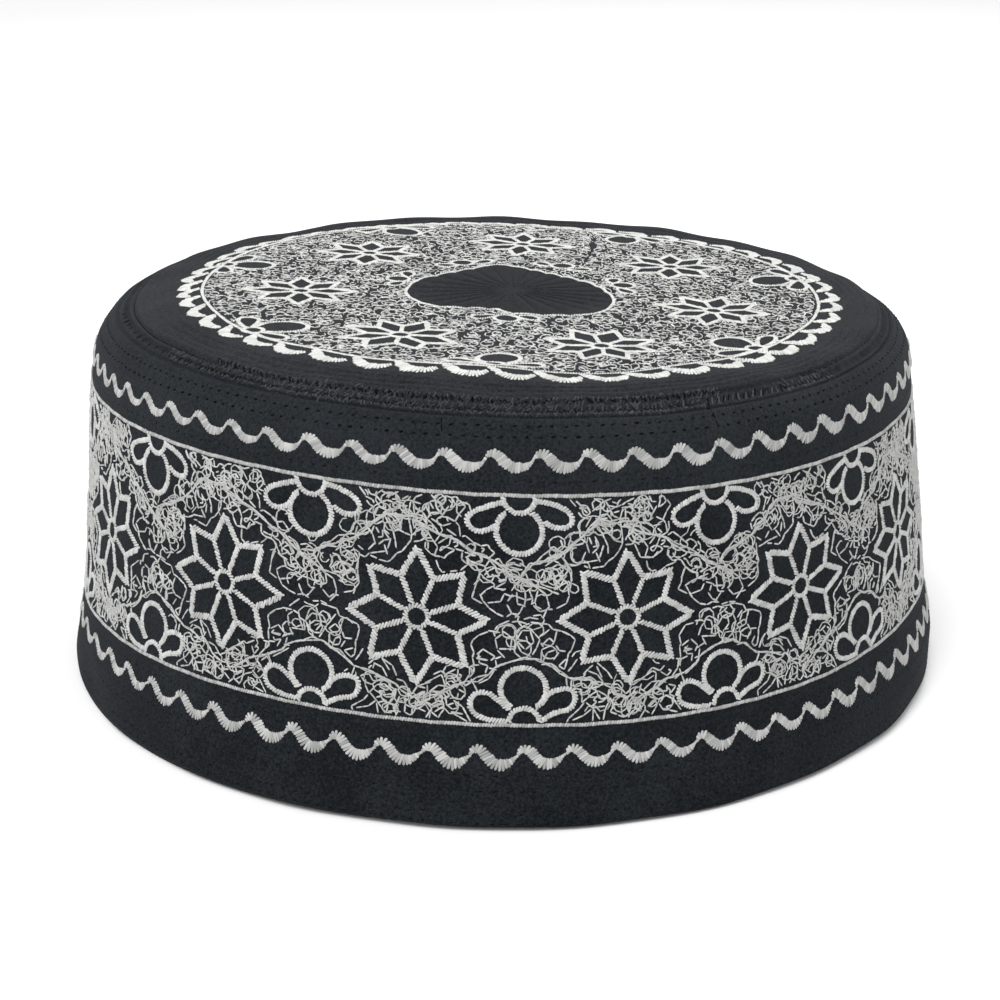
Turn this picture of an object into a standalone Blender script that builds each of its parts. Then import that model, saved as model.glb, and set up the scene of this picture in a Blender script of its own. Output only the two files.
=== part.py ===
"""A round drum-shaped cloth cap: a side band and a crown panel, both soft walls over an open hollow.

Metres, +Z up, the rim rests on z = 0, and -Y is the front.
"""

import bpy
import numpy as np

HEM_RADIUS = 0.0950  # outside radius of the hem, for a head of about 58 cm
SEGMENTS = 96
SEAM_GAP = 0.00055  # between the band's top edge and the crown's edge
SEAM_DIP = 0.0007  # how far the outside sinks at the seam
SEAM_DIP_WIDTH = 0.0016
HEM_WALL = 0.0030  # folded cloth at the rim
BAND_WALL = 0.0024
CROWN_WALL = 0.0022
RIM_FLAT = 0.0016  # width of the flat face that it stands on
CENTRE_SHIFT = (-0.00060, 0.00104)  # puts the box's middle on the z axis

# One row for each ring of the outside, from the hem up to the crown's centre, in hem radii.
# radius and height, the ring's own centre (right, front), how its radius swells
# twice and three times round, and how its height rises once, twice and three times round.
SECTION_COLUMNS = (
    "name radius height right front "
    "out_cos2 out_sin2 out_cos3 out_sin3 "
    "up_cos1 up_sin1 up_cos2 up_sin2 up_cos3 up_sin3"
).split()
SECTIONS = (
    ("hem", 0.9850, 0.0000, 0.0020, 0.0070, 0.0040, -0.0020, -0.0030, 0.0005, 0.0, 0.0, 0.0, 0.0, 0.0, 0.0),
    ("hem_bulge", 1.0000, 0.0157, 0.0060, 0.0093, 0.0058, 0.0001, 0.0017, 0.0009, -0.0023, 0.0005, -0.0015, -0.0015, -0.0007, -0.0029),
    ("hem_top", 0.9873, 0.0968, 0.0116, 0.0052, 0.0002, -0.0005, -0.0003, -0.0002, -0.0002, -0.0016, 0.0001, -0.0005, 0.0, -0.0012),
    ("lower_line", 0.9691, 0.1937, 0.0071, -0.0006, 0.0001, -0.0023, -0.0001, -0.0026, 0.0013, 0.0031, 0.0015, -0.0018, 0.0003, -0.0107),
    ("mid_wall", 0.9425, 0.4202, 0.0060, -0.0001, 0.0005, -0.0007, -0.0001, -0.0034, 0.0003, -0.0081, 0.0009, -0.0016, 0.0003, -0.0081),
    ("upper_line", 0.9201, 0.6485, 0.0020, -0.0008, 0.0014, -0.0002, 0.0010, -0.0034, -0.0006, -0.0206, -0.0001, -0.0018, 0.0003, -0.0068),
    ("wall_top", 0.9053, 0.7365, 0.0011, 0.0013, 0.0022, -0.0005, 0.0007, -0.0058, -0.0008, -0.0105, -0.0007, -0.0032, 0.0006, -0.0060),
    ("shoulder", 0.8814, 0.7723, 0.0, 0.0006, 0.0042, 0.0005, 0.0024, -0.0085, -0.0011, -0.0158, -0.0006, -0.0044, 0.0008, -0.0055),
    ("seam", 0.8505, 0.7974, 0.0022, 0.0013, 0.0048, 0.0005, 0.0041, -0.0150, -0.0010, -0.0242, -0.0014, -0.0071, 0.0009, -0.0057),
    ("margin", 0.8060, 0.8156, 0.0068, 0.0044, 0.0129, 0.0025, -0.0002, -0.0157, -0.0030, -0.0181, 0.0016, -0.0107, 0.0003, -0.0052),
    ("crown_wave", 0.7551, 0.8205, 0.0094, 0.0142, 0.0199, 0.0054, -0.0021, -0.0185, 0.0069, -0.0228, -0.0011, -0.0141, 0.0025, -0.0067),
    ("crown_line", 0.6926, 0.8238, 0.0102, 0.0073, 0.0117, 0.0040, -0.0030, -0.0204, 0.0009, -0.0260, -0.0020, -0.0130, 0.0053, -0.0073),
    ("crown_star", 0.4645, 0.8213, 0.0265, 0.0140, 0.0110, 0.0005, -0.0038, -0.0009, -0.0097, -0.0346, -0.0023, -0.0072, 0.0038, -0.0057),
    ("disc", 0.2362, 0.8225, 0.0221, 0.0128, 0.0092, 0.0004, -0.0027, -0.0007, -0.0075, -0.0266, -0.0019, -0.0056, 0.0029, -0.0044),
    ("centre", 0.0, 0.8244, 0.0206, 0.0119, 0.0083, 0.0003, -0.0024, -0.0007, -0.0068, -0.0255, -0.0017, -0.0049, 0.0025, -0.0039),
)

# Soft rises and dips of the crown's edge: where round (degrees, 0 is the front and 90 the right),
# at which radius, how far they reach each way, and their height. Radii and height in hem radii.
DENT_COLUMNS = "name angle radius half_angle half_radius lift".split()
DENTS = (
    ("front_rise", -5.0, 0.700, 11.0, 0.060, 0.0070),
    ("front_dip", 17.0, 0.695, 9.0, 0.050, -0.0070),
    ("right_dip", 46.0, 0.750, 10.0, 0.110, -0.0050),
    ("right_rise", 64.0, 0.690, 8.0, 0.060, 0.0040),
    ("left_rise", -71.0, 0.700, 10.0, 0.070, 0.0050),
    ("left_dip", -46.0, 0.700, 9.0, 0.060, -0.0030),
    ("back_right_rise", 117.0, 0.755, 10.0, 0.060, 0.0035),
)

# Rings that the meshes use, as steps along the rows of SECTIONS.
BAND_OUTSIDE = (0.0, 0.3, 0.65, 1.0, 1.5, 2.0, 3.0, 4.0, 5.0, 5.6, 6.2, 6.8, 7.4)
BAND_INSIDE = (7.4, 6.7, 6.0, 5.0, 4.0, 3.0, 2.0, 1.4)
CROWN_OUTSIDE = (8.6, 9.2, 10.0, 10.5, 11.0, 11.6, 12.3, 13.0, 13.6)
CROWN_INSIDE = (13.0, 12.0, 11.0, 10.0, 9.2, 8.6)
SEAM_ROW = 8
SEAM_STEPS = (0.0011, 0.0004)  # rings close to the seam, which round its edges


def slopes(t, v):
    """Slopes of a smooth curve through the rows of v at t that never overshoots them."""
    h = np.diff(t)[:, None]
    d = np.diff(v, axis=0) / h
    w1, w2 = 2 * h[1:] + h[:-1], h[1:] + 2 * h[:-1]
    same = d[:-1] * d[1:] > 0
    safe = np.where(same, d[:-1] * d[1:], 1.0)
    mid = np.where(same, (w1 + w2) * safe / np.where(same, w1 * d[1:] + w2 * d[:-1], 1.0), 0.0)
    return np.vstack([end_slope(h[0], h[1], d[0], d[1]), mid, end_slope(h[-1], h[-2], d[-1], d[-2])])


def end_slope(h0, h1, d0, d1):
    s = ((2 * h0 + h1) * d0 - h0 * d1) / (h0 + h1)
    s = np.where(s * d0 <= 0, 0.0, s)
    return np.where((d0 * d1 <= 0) & (np.abs(s) > 3 * np.abs(d0)), 3 * d0, s)


VALUES = np.array([row[1:] for row in SECTIONS])
RUN = np.concatenate([[0.0], np.cumsum(np.hypot(*np.diff(VALUES[:, :2], axis=0).T))])
SLOPES = slopes(RUN, VALUES)


def run_at(step):
    """Distance along the outside, in hem radii, for a step along the rows."""
    return float(np.interp(step, np.arange(len(RUN)), RUN))


def section(run):
    i = int(np.clip(np.searchsorted(RUN, run, side="right") - 1, 0, len(RUN) - 2))
    h = RUN[i + 1] - RUN[i]
    u = (run - RUN[i]) / h
    return (
        (1 + 2 * u) * (1 - u) ** 2 * VALUES[i]
        + u * (1 - u) ** 2 * h * SLOPES[i]
        + u * u * (3 - 2 * u) * VALUES[i + 1]
        + u * u * (u - 1) * h * SLOPES[i + 1]
    )


def dents(radius, angle):
    lift = np.zeros_like(angle)
    for row in DENTS:
        d = dict(zip(DENT_COLUMNS, row))
        off = (np.degrees(angle) - d["angle"] + 180.0) % 360.0 - 180.0
        lift = lift + d["lift"] * np.exp(
            -((off / d["half_angle"]) ** 2) - ((radius - d["radius"]) / d["half_radius"]) ** 2
        )
    return lift


def outside(run, angle):
    """Points of the outside at this distance along it, for all angles."""
    c = dict(zip(SECTION_COLUMNS[1:], section(run)))
    r = c["radius"]
    out = r * (
        1
        + c["out_cos2"] * np.cos(2 * angle)
        + c["out_sin2"] * np.sin(2 * angle)
        + c["out_cos3"] * np.cos(3 * angle)
        + c["out_sin3"] * np.sin(3 * angle)
    )
    z = (
        c["height"]
        + r * (c["up_cos1"] * np.cos(angle) + c["up_sin1"] * np.sin(angle))
        + r * r * (c["up_cos2"] * np.cos(2 * angle) + c["up_sin2"] * np.sin(2 * angle))
        + r**3 * (c["up_cos3"] * np.cos(3 * angle) + c["up_sin3"] * np.sin(3 * angle))
    )
    if c["height"] > 0.7:
        z = z + dents(r, angle)
    p = np.stack([c["right"] + out * np.sin(angle), -c["front"] - out * np.cos(angle), z], axis=-1)
    return p * HEM_RADIUS + np.array([*CENTRE_SHIFT, 0.0])


def outward(run, angle):
    """Unit normals of the outside."""
    a, b = min(run + 0.004, RUN[-1] - 0.002), max(run - 0.004, 0.0)
    along = outside(a, angle) - outside(b, angle)
    turn = outside(run, angle + 0.01) - outside(run, angle - 0.01)
    n = np.cross(turn, along)
    return n / np.linalg.norm(n, axis=-1, keepdims=True)


def ring(run, depth=0.0):
    """One ring of points, sunk into the cloth by depth."""
    angle = np.linspace(0, 2 * np.pi, SEGMENTS, endpoint=False)
    from_seam = (run - RUN[SEAM_ROW]) * HEM_RADIUS
    if depth == 0.0:
        depth = SEAM_DIP * np.exp(-((from_seam / SEAM_DIP_WIDTH) ** 2))
    return outside(run, angle) - depth * outward(run, angle)


def wall_at(run):
    """Wall thickness along the band, from the folded hem upwards."""
    rise = np.clip((run - RUN[1]) / (RUN[2] - RUN[1]), 0.0, 1.0)
    return HEM_WALL + (BAND_WALL - HEM_WALL) * rise


def closed_mesh(name, rings, first=None, last=None):
    """A tube of rings. With first and last points it closes over them, and else it joins its own ends."""
    verts = [tuple(p) for r in rings for p in r]
    faces = []
    count = len(rings)
    joined = count if first is None else count - 1
    for k in range(joined):
        a, b = k * SEGMENTS, (k + 1) % count * SEGMENTS
        for i in range(SEGMENTS):
            j = (i + 1) % SEGMENTS
            faces.append((a + i, a + j, b + j, b + i))
    if first is not None:
        start, end = len(verts), len(verts) + 1
        verts += [tuple(first), tuple(last)]
        top = (count - 1) * SEGMENTS
        for i in range(SEGMENTS):
            j = (i + 1) % SEGMENTS
            faces.append((start, j, i))
            faces.append((end, top + i, top + j))
    mesh = bpy.data.meshes.new(name)
    mesh.from_pydata(verts, [], faces)
    mesh.validate()
    mesh.update()
    o = bpy.data.objects.new(name, mesh)
    bpy.context.scene.collection.objects.link(o)
    return o


def cloth(name, colour, roughness):
    m = bpy.data.materials.new(name)
    m.use_nodes = True
    p = m.node_tree.nodes["Principled BSDF"]
    p.inputs["Base Color"].default_value = (*colour, 1.0)
    p.inputs["Roughness"].default_value = roughness
    return m


def side_band():
    seam = RUN[SEAM_ROW]
    edge = [seam - s / HEM_RADIUS for s in (*SEAM_STEPS, SEAM_GAP / 2)]
    rings = [ring(run_at(s)) for s in BAND_OUTSIDE] + [ring(r) for r in edge]
    rings.append(ring(edge[-1], BAND_WALL))
    rings += [ring(run_at(s), wall_at(run_at(s))) for s in BAND_INSIDE]
    # The rim: a flat face on z = 0, with the inside rising from it.
    rim = ring(run_at(BAND_OUTSIDE[0]))
    flat = rim.copy()
    flat[:, :2] -= RIM_FLAT * rim[:, :2] / np.linalg.norm(rim[:, :2], axis=1, keepdims=True)
    rings.append(flat)
    return closed_mesh("side_band", rings)


def crown():
    seam = RUN[SEAM_ROW]
    edge = [seam + s / HEM_RADIUS for s in (SEAM_GAP / 2, *reversed(SEAM_STEPS))]
    rings = [ring(edge[0], CROWN_WALL)]
    rings += [ring(r) for r in edge] + [ring(run_at(s)) for s in CROWN_OUTSIDE]
    top = outside(RUN[-1], np.zeros(1))[0]
    rings = [ring(run_at(s), CROWN_WALL) for s in CROWN_INSIDE] + rings
    return closed_mesh("crown", rings, top - np.array([0.0, 0.0, CROWN_WALL]), top)


def main():
    for o in list(bpy.data.objects):
        bpy.data.objects.remove(o, do_unlink=True)
    side_band().data.materials.append(cloth("black_band_cloth", (0.022, 0.023, 0.027), 0.85))
    crown().data.materials.append(cloth("black_crown_cloth", (0.026, 0.027, 0.031), 0.8))


main()
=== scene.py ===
"""Looks of a round drum-shaped cap: black cloth, white embroidery of stars, petals, waves and a thread net.

The shape is worked out in millimetres and turned into metres when a mesh is made. +Z up, the rim
rests on z = 0, and -Y is the front. Angle 0 is the front and 90 degrees the right. "run" is the
distance along the outside from the hem (0) over the seam to the middle of the crown.
"""

import math

import bpy
import numpy as np
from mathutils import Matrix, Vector


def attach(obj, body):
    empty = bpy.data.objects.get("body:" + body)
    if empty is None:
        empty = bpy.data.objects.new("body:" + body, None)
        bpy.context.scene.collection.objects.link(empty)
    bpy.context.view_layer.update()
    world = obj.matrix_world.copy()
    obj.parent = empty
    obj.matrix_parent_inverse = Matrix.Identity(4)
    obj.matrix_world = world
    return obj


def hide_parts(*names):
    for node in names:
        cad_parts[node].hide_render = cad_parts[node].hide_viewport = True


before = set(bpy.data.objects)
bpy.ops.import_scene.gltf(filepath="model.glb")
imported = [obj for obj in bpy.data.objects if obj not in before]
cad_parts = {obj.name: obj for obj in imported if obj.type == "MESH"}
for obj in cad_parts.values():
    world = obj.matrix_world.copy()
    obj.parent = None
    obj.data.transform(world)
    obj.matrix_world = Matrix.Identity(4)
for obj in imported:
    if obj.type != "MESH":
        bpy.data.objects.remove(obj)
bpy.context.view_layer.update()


# ---------------------------------------------------------------- the body, as the CAD model has it

HEM_RADIUS = 95.0
SEAM_GAP = 0.55
SEAM_DIP, SEAM_DIP_WIDTH = 0.7, 1.6
HEM_WALL, BAND_WALL, CROWN_WALL = 3.0, 2.4, 2.2
RIM_FLAT = 1.6
CENTRE_SHIFT = (-0.60, 1.04)

SECTION_COLUMNS = (
    "name radius height right front "
    "out_cos2 out_sin2 out_cos3 out_sin3 "
    "up_cos1 up_sin1 up_cos2 up_sin2 up_cos3 up_sin3"
).split()
SECTIONS = (
    ("hem", 0.9850, 0.0000, 0.0020, 0.0070, 0.0040, -0.0020, -0.0030, 0.0005, 0.0, 0.0, 0.0, 0.0, 0.0, 0.0),
    ("hem_bulge", 1.0000, 0.0157, 0.0060, 0.0093, 0.0058, 0.0001, 0.0017, 0.0009, -0.0023, 0.0005, -0.0015, -0.0015, -0.0007, -0.0029),
    ("hem_top", 0.9873, 0.0968, 0.0116, 0.0052, 0.0002, -0.0005, -0.0003, -0.0002, -0.0002, -0.0016, 0.0001, -0.0005, 0.0, -0.0012),
    ("lower_line", 0.9691, 0.1937, 0.0071, -0.0006, 0.0001, -0.0023, -0.0001, -0.0026, 0.0013, 0.0031, 0.0015, -0.0018, 0.0003, -0.0107),
    ("mid_wall", 0.9425, 0.4202, 0.0060, -0.0001, 0.0005, -0.0007, -0.0001, -0.0034, 0.0003, -0.0081, 0.0009, -0.0016, 0.0003, -0.0081),
    ("upper_line", 0.9201, 0.6485, 0.0020, -0.0008, 0.0014, -0.0002, 0.0010, -0.0034, -0.0006, -0.0206, -0.0001, -0.0018, 0.0003, -0.0068),
    ("wall_top", 0.9053, 0.7365, 0.0011, 0.0013, 0.0022, -0.0005, 0.0007, -0.0058, -0.0008, -0.0105, -0.0007, -0.0032, 0.0006, -0.0060),
    ("shoulder", 0.8814, 0.7723, 0.0, 0.0006, 0.0042, 0.0005, 0.0024, -0.0085, -0.0011, -0.0158, -0.0006, -0.0044, 0.0008, -0.0055),
    ("seam", 0.8505, 0.7974, 0.0022, 0.0013, 0.0048, 0.0005, 0.0041, -0.0150, -0.0010, -0.0242, -0.0014, -0.0071, 0.0009, -0.0057),
    ("margin", 0.8060, 0.8156, 0.0068, 0.0044, 0.0129, 0.0025, -0.0002, -0.0157, -0.0030, -0.0181, 0.0016, -0.0107, 0.0003, -0.0052),
    ("crown_wave", 0.7551, 0.8205, 0.0094, 0.0142, 0.0199, 0.0054, -0.0021, -0.0185, 0.0069, -0.0228, -0.0011, -0.0141, 0.0025, -0.0067),
    ("crown_line", 0.6926, 0.8238, 0.0102, 0.0073, 0.0117, 0.0040, -0.0030, -0.0204, 0.0009, -0.0260, -0.0020, -0.0130, 0.0053, -0.0073),
    ("crown_star", 0.4645, 0.8213, 0.0265, 0.0140, 0.0110, 0.0005, -0.0038, -0.0009, -0.0097, -0.0346, -0.0023, -0.0072, 0.0038, -0.0057),
    ("disc", 0.2362, 0.8225, 0.0221, 0.0128, 0.0092, 0.0004, -0.0027, -0.0007, -0.0075, -0.0266, -0.0019, -0.0056, 0.0029, -0.0044),
    ("centre", 0.0, 0.8244, 0.0206, 0.0119, 0.0083, 0.0003, -0.0024, -0.0007, -0.0068, -0.0255, -0.0017, -0.0049, 0.0025, -0.0039),
)
DENT_COLUMNS = "name angle radius half_angle half_radius lift".split()
DENTS = (
    ("front_rise", -5.0, 0.700, 11.0, 0.060, 0.0070),
    ("front_dip", 17.0, 0.695, 9.0, 0.050, -0.0070),
    ("right_dip", 46.0, 0.750, 10.0, 0.110, -0.0050),
    ("right_rise", 64.0, 0.690, 8.0, 0.060, 0.0040),
    ("left_rise", -71.0, 0.700, 10.0, 0.070, 0.0050),
    ("left_dip", -46.0, 0.700, 9.0, 0.060, -0.0030),
    ("back_right_rise", 117.0, 0.755, 10.0, 0.060, 0.0035),
)


def slopes(t, v):
    """Slopes of a smooth curve through the rows of v at t that never overshoots them."""
    h = np.diff(t)[:, None]
    d = np.diff(v, axis=0) / h
    w1, w2 = 2 * h[1:] + h[:-1], h[1:] + 2 * h[:-1]
    same = d[:-1] * d[1:] > 0
    safe = np.where(same, d[:-1] * d[1:], 1.0)
    mid = np.where(same, (w1 + w2) * safe / np.where(same, w1 * d[1:] + w2 * d[:-1], 1.0), 0.0)
    return np.vstack([end_slope(h[0], h[1], d[0], d[1]), mid, end_slope(h[-1], h[-2], d[-1], d[-2])])


def end_slope(h0, h1, d0, d1):
    s = ((2 * h0 + h1) * d0 - h0 * d1) / (h0 + h1)
    s = np.where(s * d0 <= 0, 0.0, s)
    return np.where((d0 * d1 <= 0) & (np.abs(s) > 3 * np.abs(d0)), 3 * d0, s)


VALUES = np.array([row[1:] for row in SECTIONS])
RUN = np.concatenate([[0.0], np.cumsum(np.hypot(*np.diff(VALUES[:, :2], axis=0).T))])
SLOPES = slopes(RUN, VALUES)
ROW = {row[0]: float(r) * HEM_RADIUS for row, r in zip(SECTIONS, RUN)}  # the rows' places, in mm
SEAM, END = ROW["seam"], ROW["centre"]


def bare(run, angle):
    """Points of the smooth outside, in mm, for arrays of run (mm) and angle (radians)."""
    run, angle = np.broadcast_arrays(np.asarray(run, float), np.asarray(angle, float))
    t, a = run.ravel() / HEM_RADIUS, angle.ravel()
    i = np.clip(np.searchsorted(RUN, t, side="right") - 1, 0, len(RUN) - 2)
    h = (RUN[i + 1] - RUN[i])[:, None]
    u = (t - RUN[i])[:, None] / h
    v = (
        (1 + 2 * u) * (1 - u) ** 2 * VALUES[i]
        + u * (1 - u) ** 2 * h * SLOPES[i]
        + u * u * (3 - 2 * u) * VALUES[i + 1]
        + u * u * (u - 1) * h * SLOPES[i + 1]
    )
    c = {name: v[:, k] for k, name in enumerate(SECTION_COLUMNS[1:])}
    r = c["radius"]
    out = r * (
        1
        + c["out_cos2"] * np.cos(2 * a)
        + c["out_sin2"] * np.sin(2 * a)
        + c["out_cos3"] * np.cos(3 * a)
        + c["out_sin3"] * np.sin(3 * a)
    )
    z = (
        c["height"]
        + r * (c["up_cos1"] * np.cos(a) + c["up_sin1"] * np.sin(a))
        + r * r * (c["up_cos2"] * np.cos(2 * a) + c["up_sin2"] * np.sin(2 * a))
        + r**3 * (c["up_cos3"] * np.cos(3 * a) + c["up_sin3"] * np.sin(3 * a))
    )
    lift = np.zeros_like(z)
    for row in DENTS:
        d = dict(zip(DENT_COLUMNS, row))
        off = (np.degrees(a) - d["angle"] + 180.0) % 360.0 - 180.0
        lift += d["lift"] * np.exp(-((off / d["half_angle"]) ** 2) - ((r - d["radius"]) / d["half_radius"]) ** 2)
    z = z + np.where(c["height"] > 0.7, lift, 0.0)
    p = np.stack([c["right"] + out * np.sin(a), -c["front"] - out * np.cos(a), z], axis=-1) * HEM_RADIUS
    p[:, :2] += CENTRE_SHIFT
    return p.reshape(*run.shape, 3)


# ---------------------------------------------------------------- small relief of the cloth

# Grooves that run right round: where along the outside, depth, half width, and how much more of
# that depth the left side has.
GROOVES = (
    ("under_seam_band", 77.15, 0.55, 0.36, 0.0),
    ("over_seam_band", 80.60, 0.28, 0.42, 1.4),
)
# Creases across the cloth, as lines seen from above (x to the right, y to the back, measured along
# the cloth from the middle of the crown): depth, half width, then the points.
CREASES = (
    ("crown_back_right", 0.40, 0.8, ((21.8, 56.8), (19.2, 46.0), (18.6, 39.0), (16.7, 27.0))),
    ("tuck_right", 0.10, 0.80, ((38.5, -73.6), (40.2, -77.0))),
)
# Dark strips of painted shade along tucks' folds: the points, then the width.
TUCK_SHADES = (
    (((38.3, -73.3), (39.0, -74.6), (39.7, -76.2), (40.4, -77.5)), 0.55),
    (((-10.2, -83.0), (-10.4, -84.6), (-10.3, -86.0)), 0.35),
)
STITCH_ROWS = (75.0, 72.9, 64.9, 16.5, 10.5, 7.85, 4.3, 2.4)  # black stitches right round the band
RAYS_AT = (0.6, -2.2)  # the crown's middle, where the radial creases meet
RAYS = 13


def smooth(x, low, high):
    t = np.clip((x - low) / (high - low), 0.0, 1.0)
    return t * t * (3 - 2 * t)


def above(run, angle):
    """Places measured along the cloth from the middle of the crown: x to the right, y to the back."""
    return (END - run) * np.sin(angle), -(END - run) * np.cos(angle)


def relief(run, angle):
    """How far the cloth rises (+) or sinks (-) from the smooth body, in mm."""
    z = -SEAM_DIP * np.exp(-(((run - SEAM) / SEAM_DIP_WIDTH) ** 2))
    for _, place, depth, half, more in GROOVES:
        z = z - depth * (1 + more * np.clip(-np.sin(angle), 0, 1) ** 2) * np.exp(-(((run - place) / half) ** 2))
    x, y = above(run, angle)
    for _, depth, half, points in CREASES:
        far = np.full(np.shape(x), 1e9)
        for (x0, y0), (x1, y1) in zip(points[:-1], points[1:]):
            dx, dy = x1 - x0, y1 - y0
            t = np.clip(((x - x0) * dx + (y - y0) * dy) / (dx * dx + dy * dy), 0, 1)
            far = np.minimum(far, np.hypot(x - x0 - t * dx, y - y0 - t * dy))
        z = z - depth * np.exp(-((far / half) ** 2))
        z = z + 0.35 * depth * np.exp(-(((far - 2.4 * half) / half) ** 2))
    # the middle of the crown is drawn together in fine radial creases
    cx, cy = x - RAYS_AT[0], y - RAYS_AT[1]
    far, turn = np.hypot(cx, cy), np.arctan2(cx, cy)
    folds = np.abs(np.sin(RAYS * turn + 0.9 * np.sin(3 * turn))) ** 0.6 - 0.6
    z = z + 0.34 * folds * smooth(far, 1.0, 6.0) * (1 - smooth(far, 19.0, 25.0))
    # fine ribs of the crown's margin
    ribs = np.sin(2 * np.pi * (run - 81.0) / 1.8 + 0.5 * np.sin(9 * angle))
    z = z + 0.075 * ribs * smooth(run, 81.0, 82.0) * (1 - smooth(run, 87.5, 88.5))
    # soft unevenness, more on the crown's margin and the hem than on the stiff stitched wall
    soft = np.sin(7 * angle + 0.11 * run) + np.sin(13 * angle - 0.19 * run + 2.0) + np.sin(23 * angle + 0.31 * run + 4.0)
    loose = 0.05 + 0.10 * np.exp(-(((run - 83.0) / 5.0) ** 2)) + 0.10 * np.exp(-(((run - 5.0) / 4.0) ** 2))
    return z + loose * soft * smooth(run, 0.0, 1.5) * (1 - smooth(run, 88.0, 120.0))


# ---------------------------------------------------------------- charts: flat places to the body

STARS = 15
STAR_PITCH = 38.2  # from star to star along the wall, in mm


class Band:
    """A strip round the cap, as a chart. x is the distance along it in mm, y the run.

    count repeats of pitch mm go once round. The cloth was pulled a little more on one side, so the
    repeats' even angles are shifted by pull degrees times the sine of the angle past lead.
    """

    def __init__(self, start, count, pitch, pull, lead):
        self.start, self.per_mm, self.pull, self.lead = start, 360.0 / (count * pitch), pull, lead

    def place(self, q):
        even = self.start + q[..., 0] * self.per_mm
        return q[..., 1], np.radians(even + self.pull * np.sin(np.radians(even + self.lead)))


class Crown:
    """The crown seen from above, as a chart: x to the right and y to the back, in mm along the cloth."""

    def place(self, q):
        return END - np.hypot(q[..., 0], q[..., 1]), np.arctan2(q[..., 0], -q[..., 1])


WALL = Band(-60.5, STARS, STAR_PITCH, 3.15, 65.7)
UPPER_WAVE = Band(-62.54, 66, 8.41, 2.12, 324.2)
LOWER_WAVE = Band(-69.77, 68, 8.18, 5.615, 88.8)
CROWN_WAVE = Band(-63.5, 50, 8.8, 0.0, 0.0)
ROUND = Band(0.0, 100, 5.36, 0.0, 0.0)  # plain rows right round; 536 mm is once round
CROWN = Crown()


def on_body(chart, q):
    """The place and the outward normal on the smooth body of chart points q, in mm."""
    e = 0.2
    p = bare(*chart.place(q))
    dx = bare(*chart.place(q + (e, 0.0))) - bare(*chart.place(q - (e, 0.0)))
    dy = bare(*chart.place(q + (0.0, e))) - bare(*chart.place(q - (0.0, e)))
    n = np.cross(dx, dy)
    return p, n / np.maximum(np.linalg.norm(n, axis=-1, keepdims=True), 1e-9)


# ---------------------------------------------------------------- meshes


def new_mesh(name, points, faces, materials, index=None, uv=None):
    """A mesh object from points in mm. faces is a list of arrays, and uv a map's name and its corners."""
    mesh = bpy.data.meshes.new(name)
    points = np.asarray(points, np.float32) * 0.001
    corners_of = [f.shape[1] for f in faces for _ in range(len(f))]
    loops = np.concatenate([np.asarray(f, np.int32).ravel() for f in faces])
    mesh.vertices.add(len(points))
    mesh.vertices.foreach_set("co", points.ravel())
    mesh.loops.add(len(loops))
    mesh.loops.foreach_set("vertex_index", loops)
    mesh.polygons.add(len(corners_of))
    mesh.polygons.foreach_set("loop_start", np.concatenate([[0], np.cumsum(corners_of)[:-1]]).astype(np.int32))
    for m in materials:
        mesh.materials.append(m)
    if index is not None:
        mesh.polygons.foreach_set("material_index", np.asarray(index, np.int32))
    mesh.polygons.foreach_set("use_smooth", np.ones(len(corners_of), bool))
    mesh.update(calc_edges=True)
    if uv is not None:
        mesh.uv_layers.new(name=uv[0]).data.foreach_set("uv", np.asarray(uv[1], np.float32).ravel())
    o = bpy.data.objects.new(name, mesh)
    bpy.context.scene.collection.objects.link(o)
    return o


# How a strand's height and width go from its one end to the other: it leaves the cloth at a
# needle hole, arches over it and goes back in.
SATIN_RINGS = ((0.0, 0.0, 0.70), (0.12, 0.70, 1.0), (0.50, 1.0, 1.0), (0.88, 0.70, 1.0), (1.0, 0.0, 0.70))
RUNNING_RINGS = ((0.0, 0.25, 0.70), (0.2, 1.0, 1.0), (0.8, 1.0, 1.0), (1.0, 0.25, 0.70))
SUNK_RINGS = ((0.0, 0.0, 0.8), (0.3, 1.0, 1.0), (0.7, 1.0, 1.0), (1.0, 0.0, 0.8))
SHORT_RINGS = ((0.0, 0.45, 0.85), (0.5, 1.0, 1.0), (1.0, 0.45, 0.85))


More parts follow.
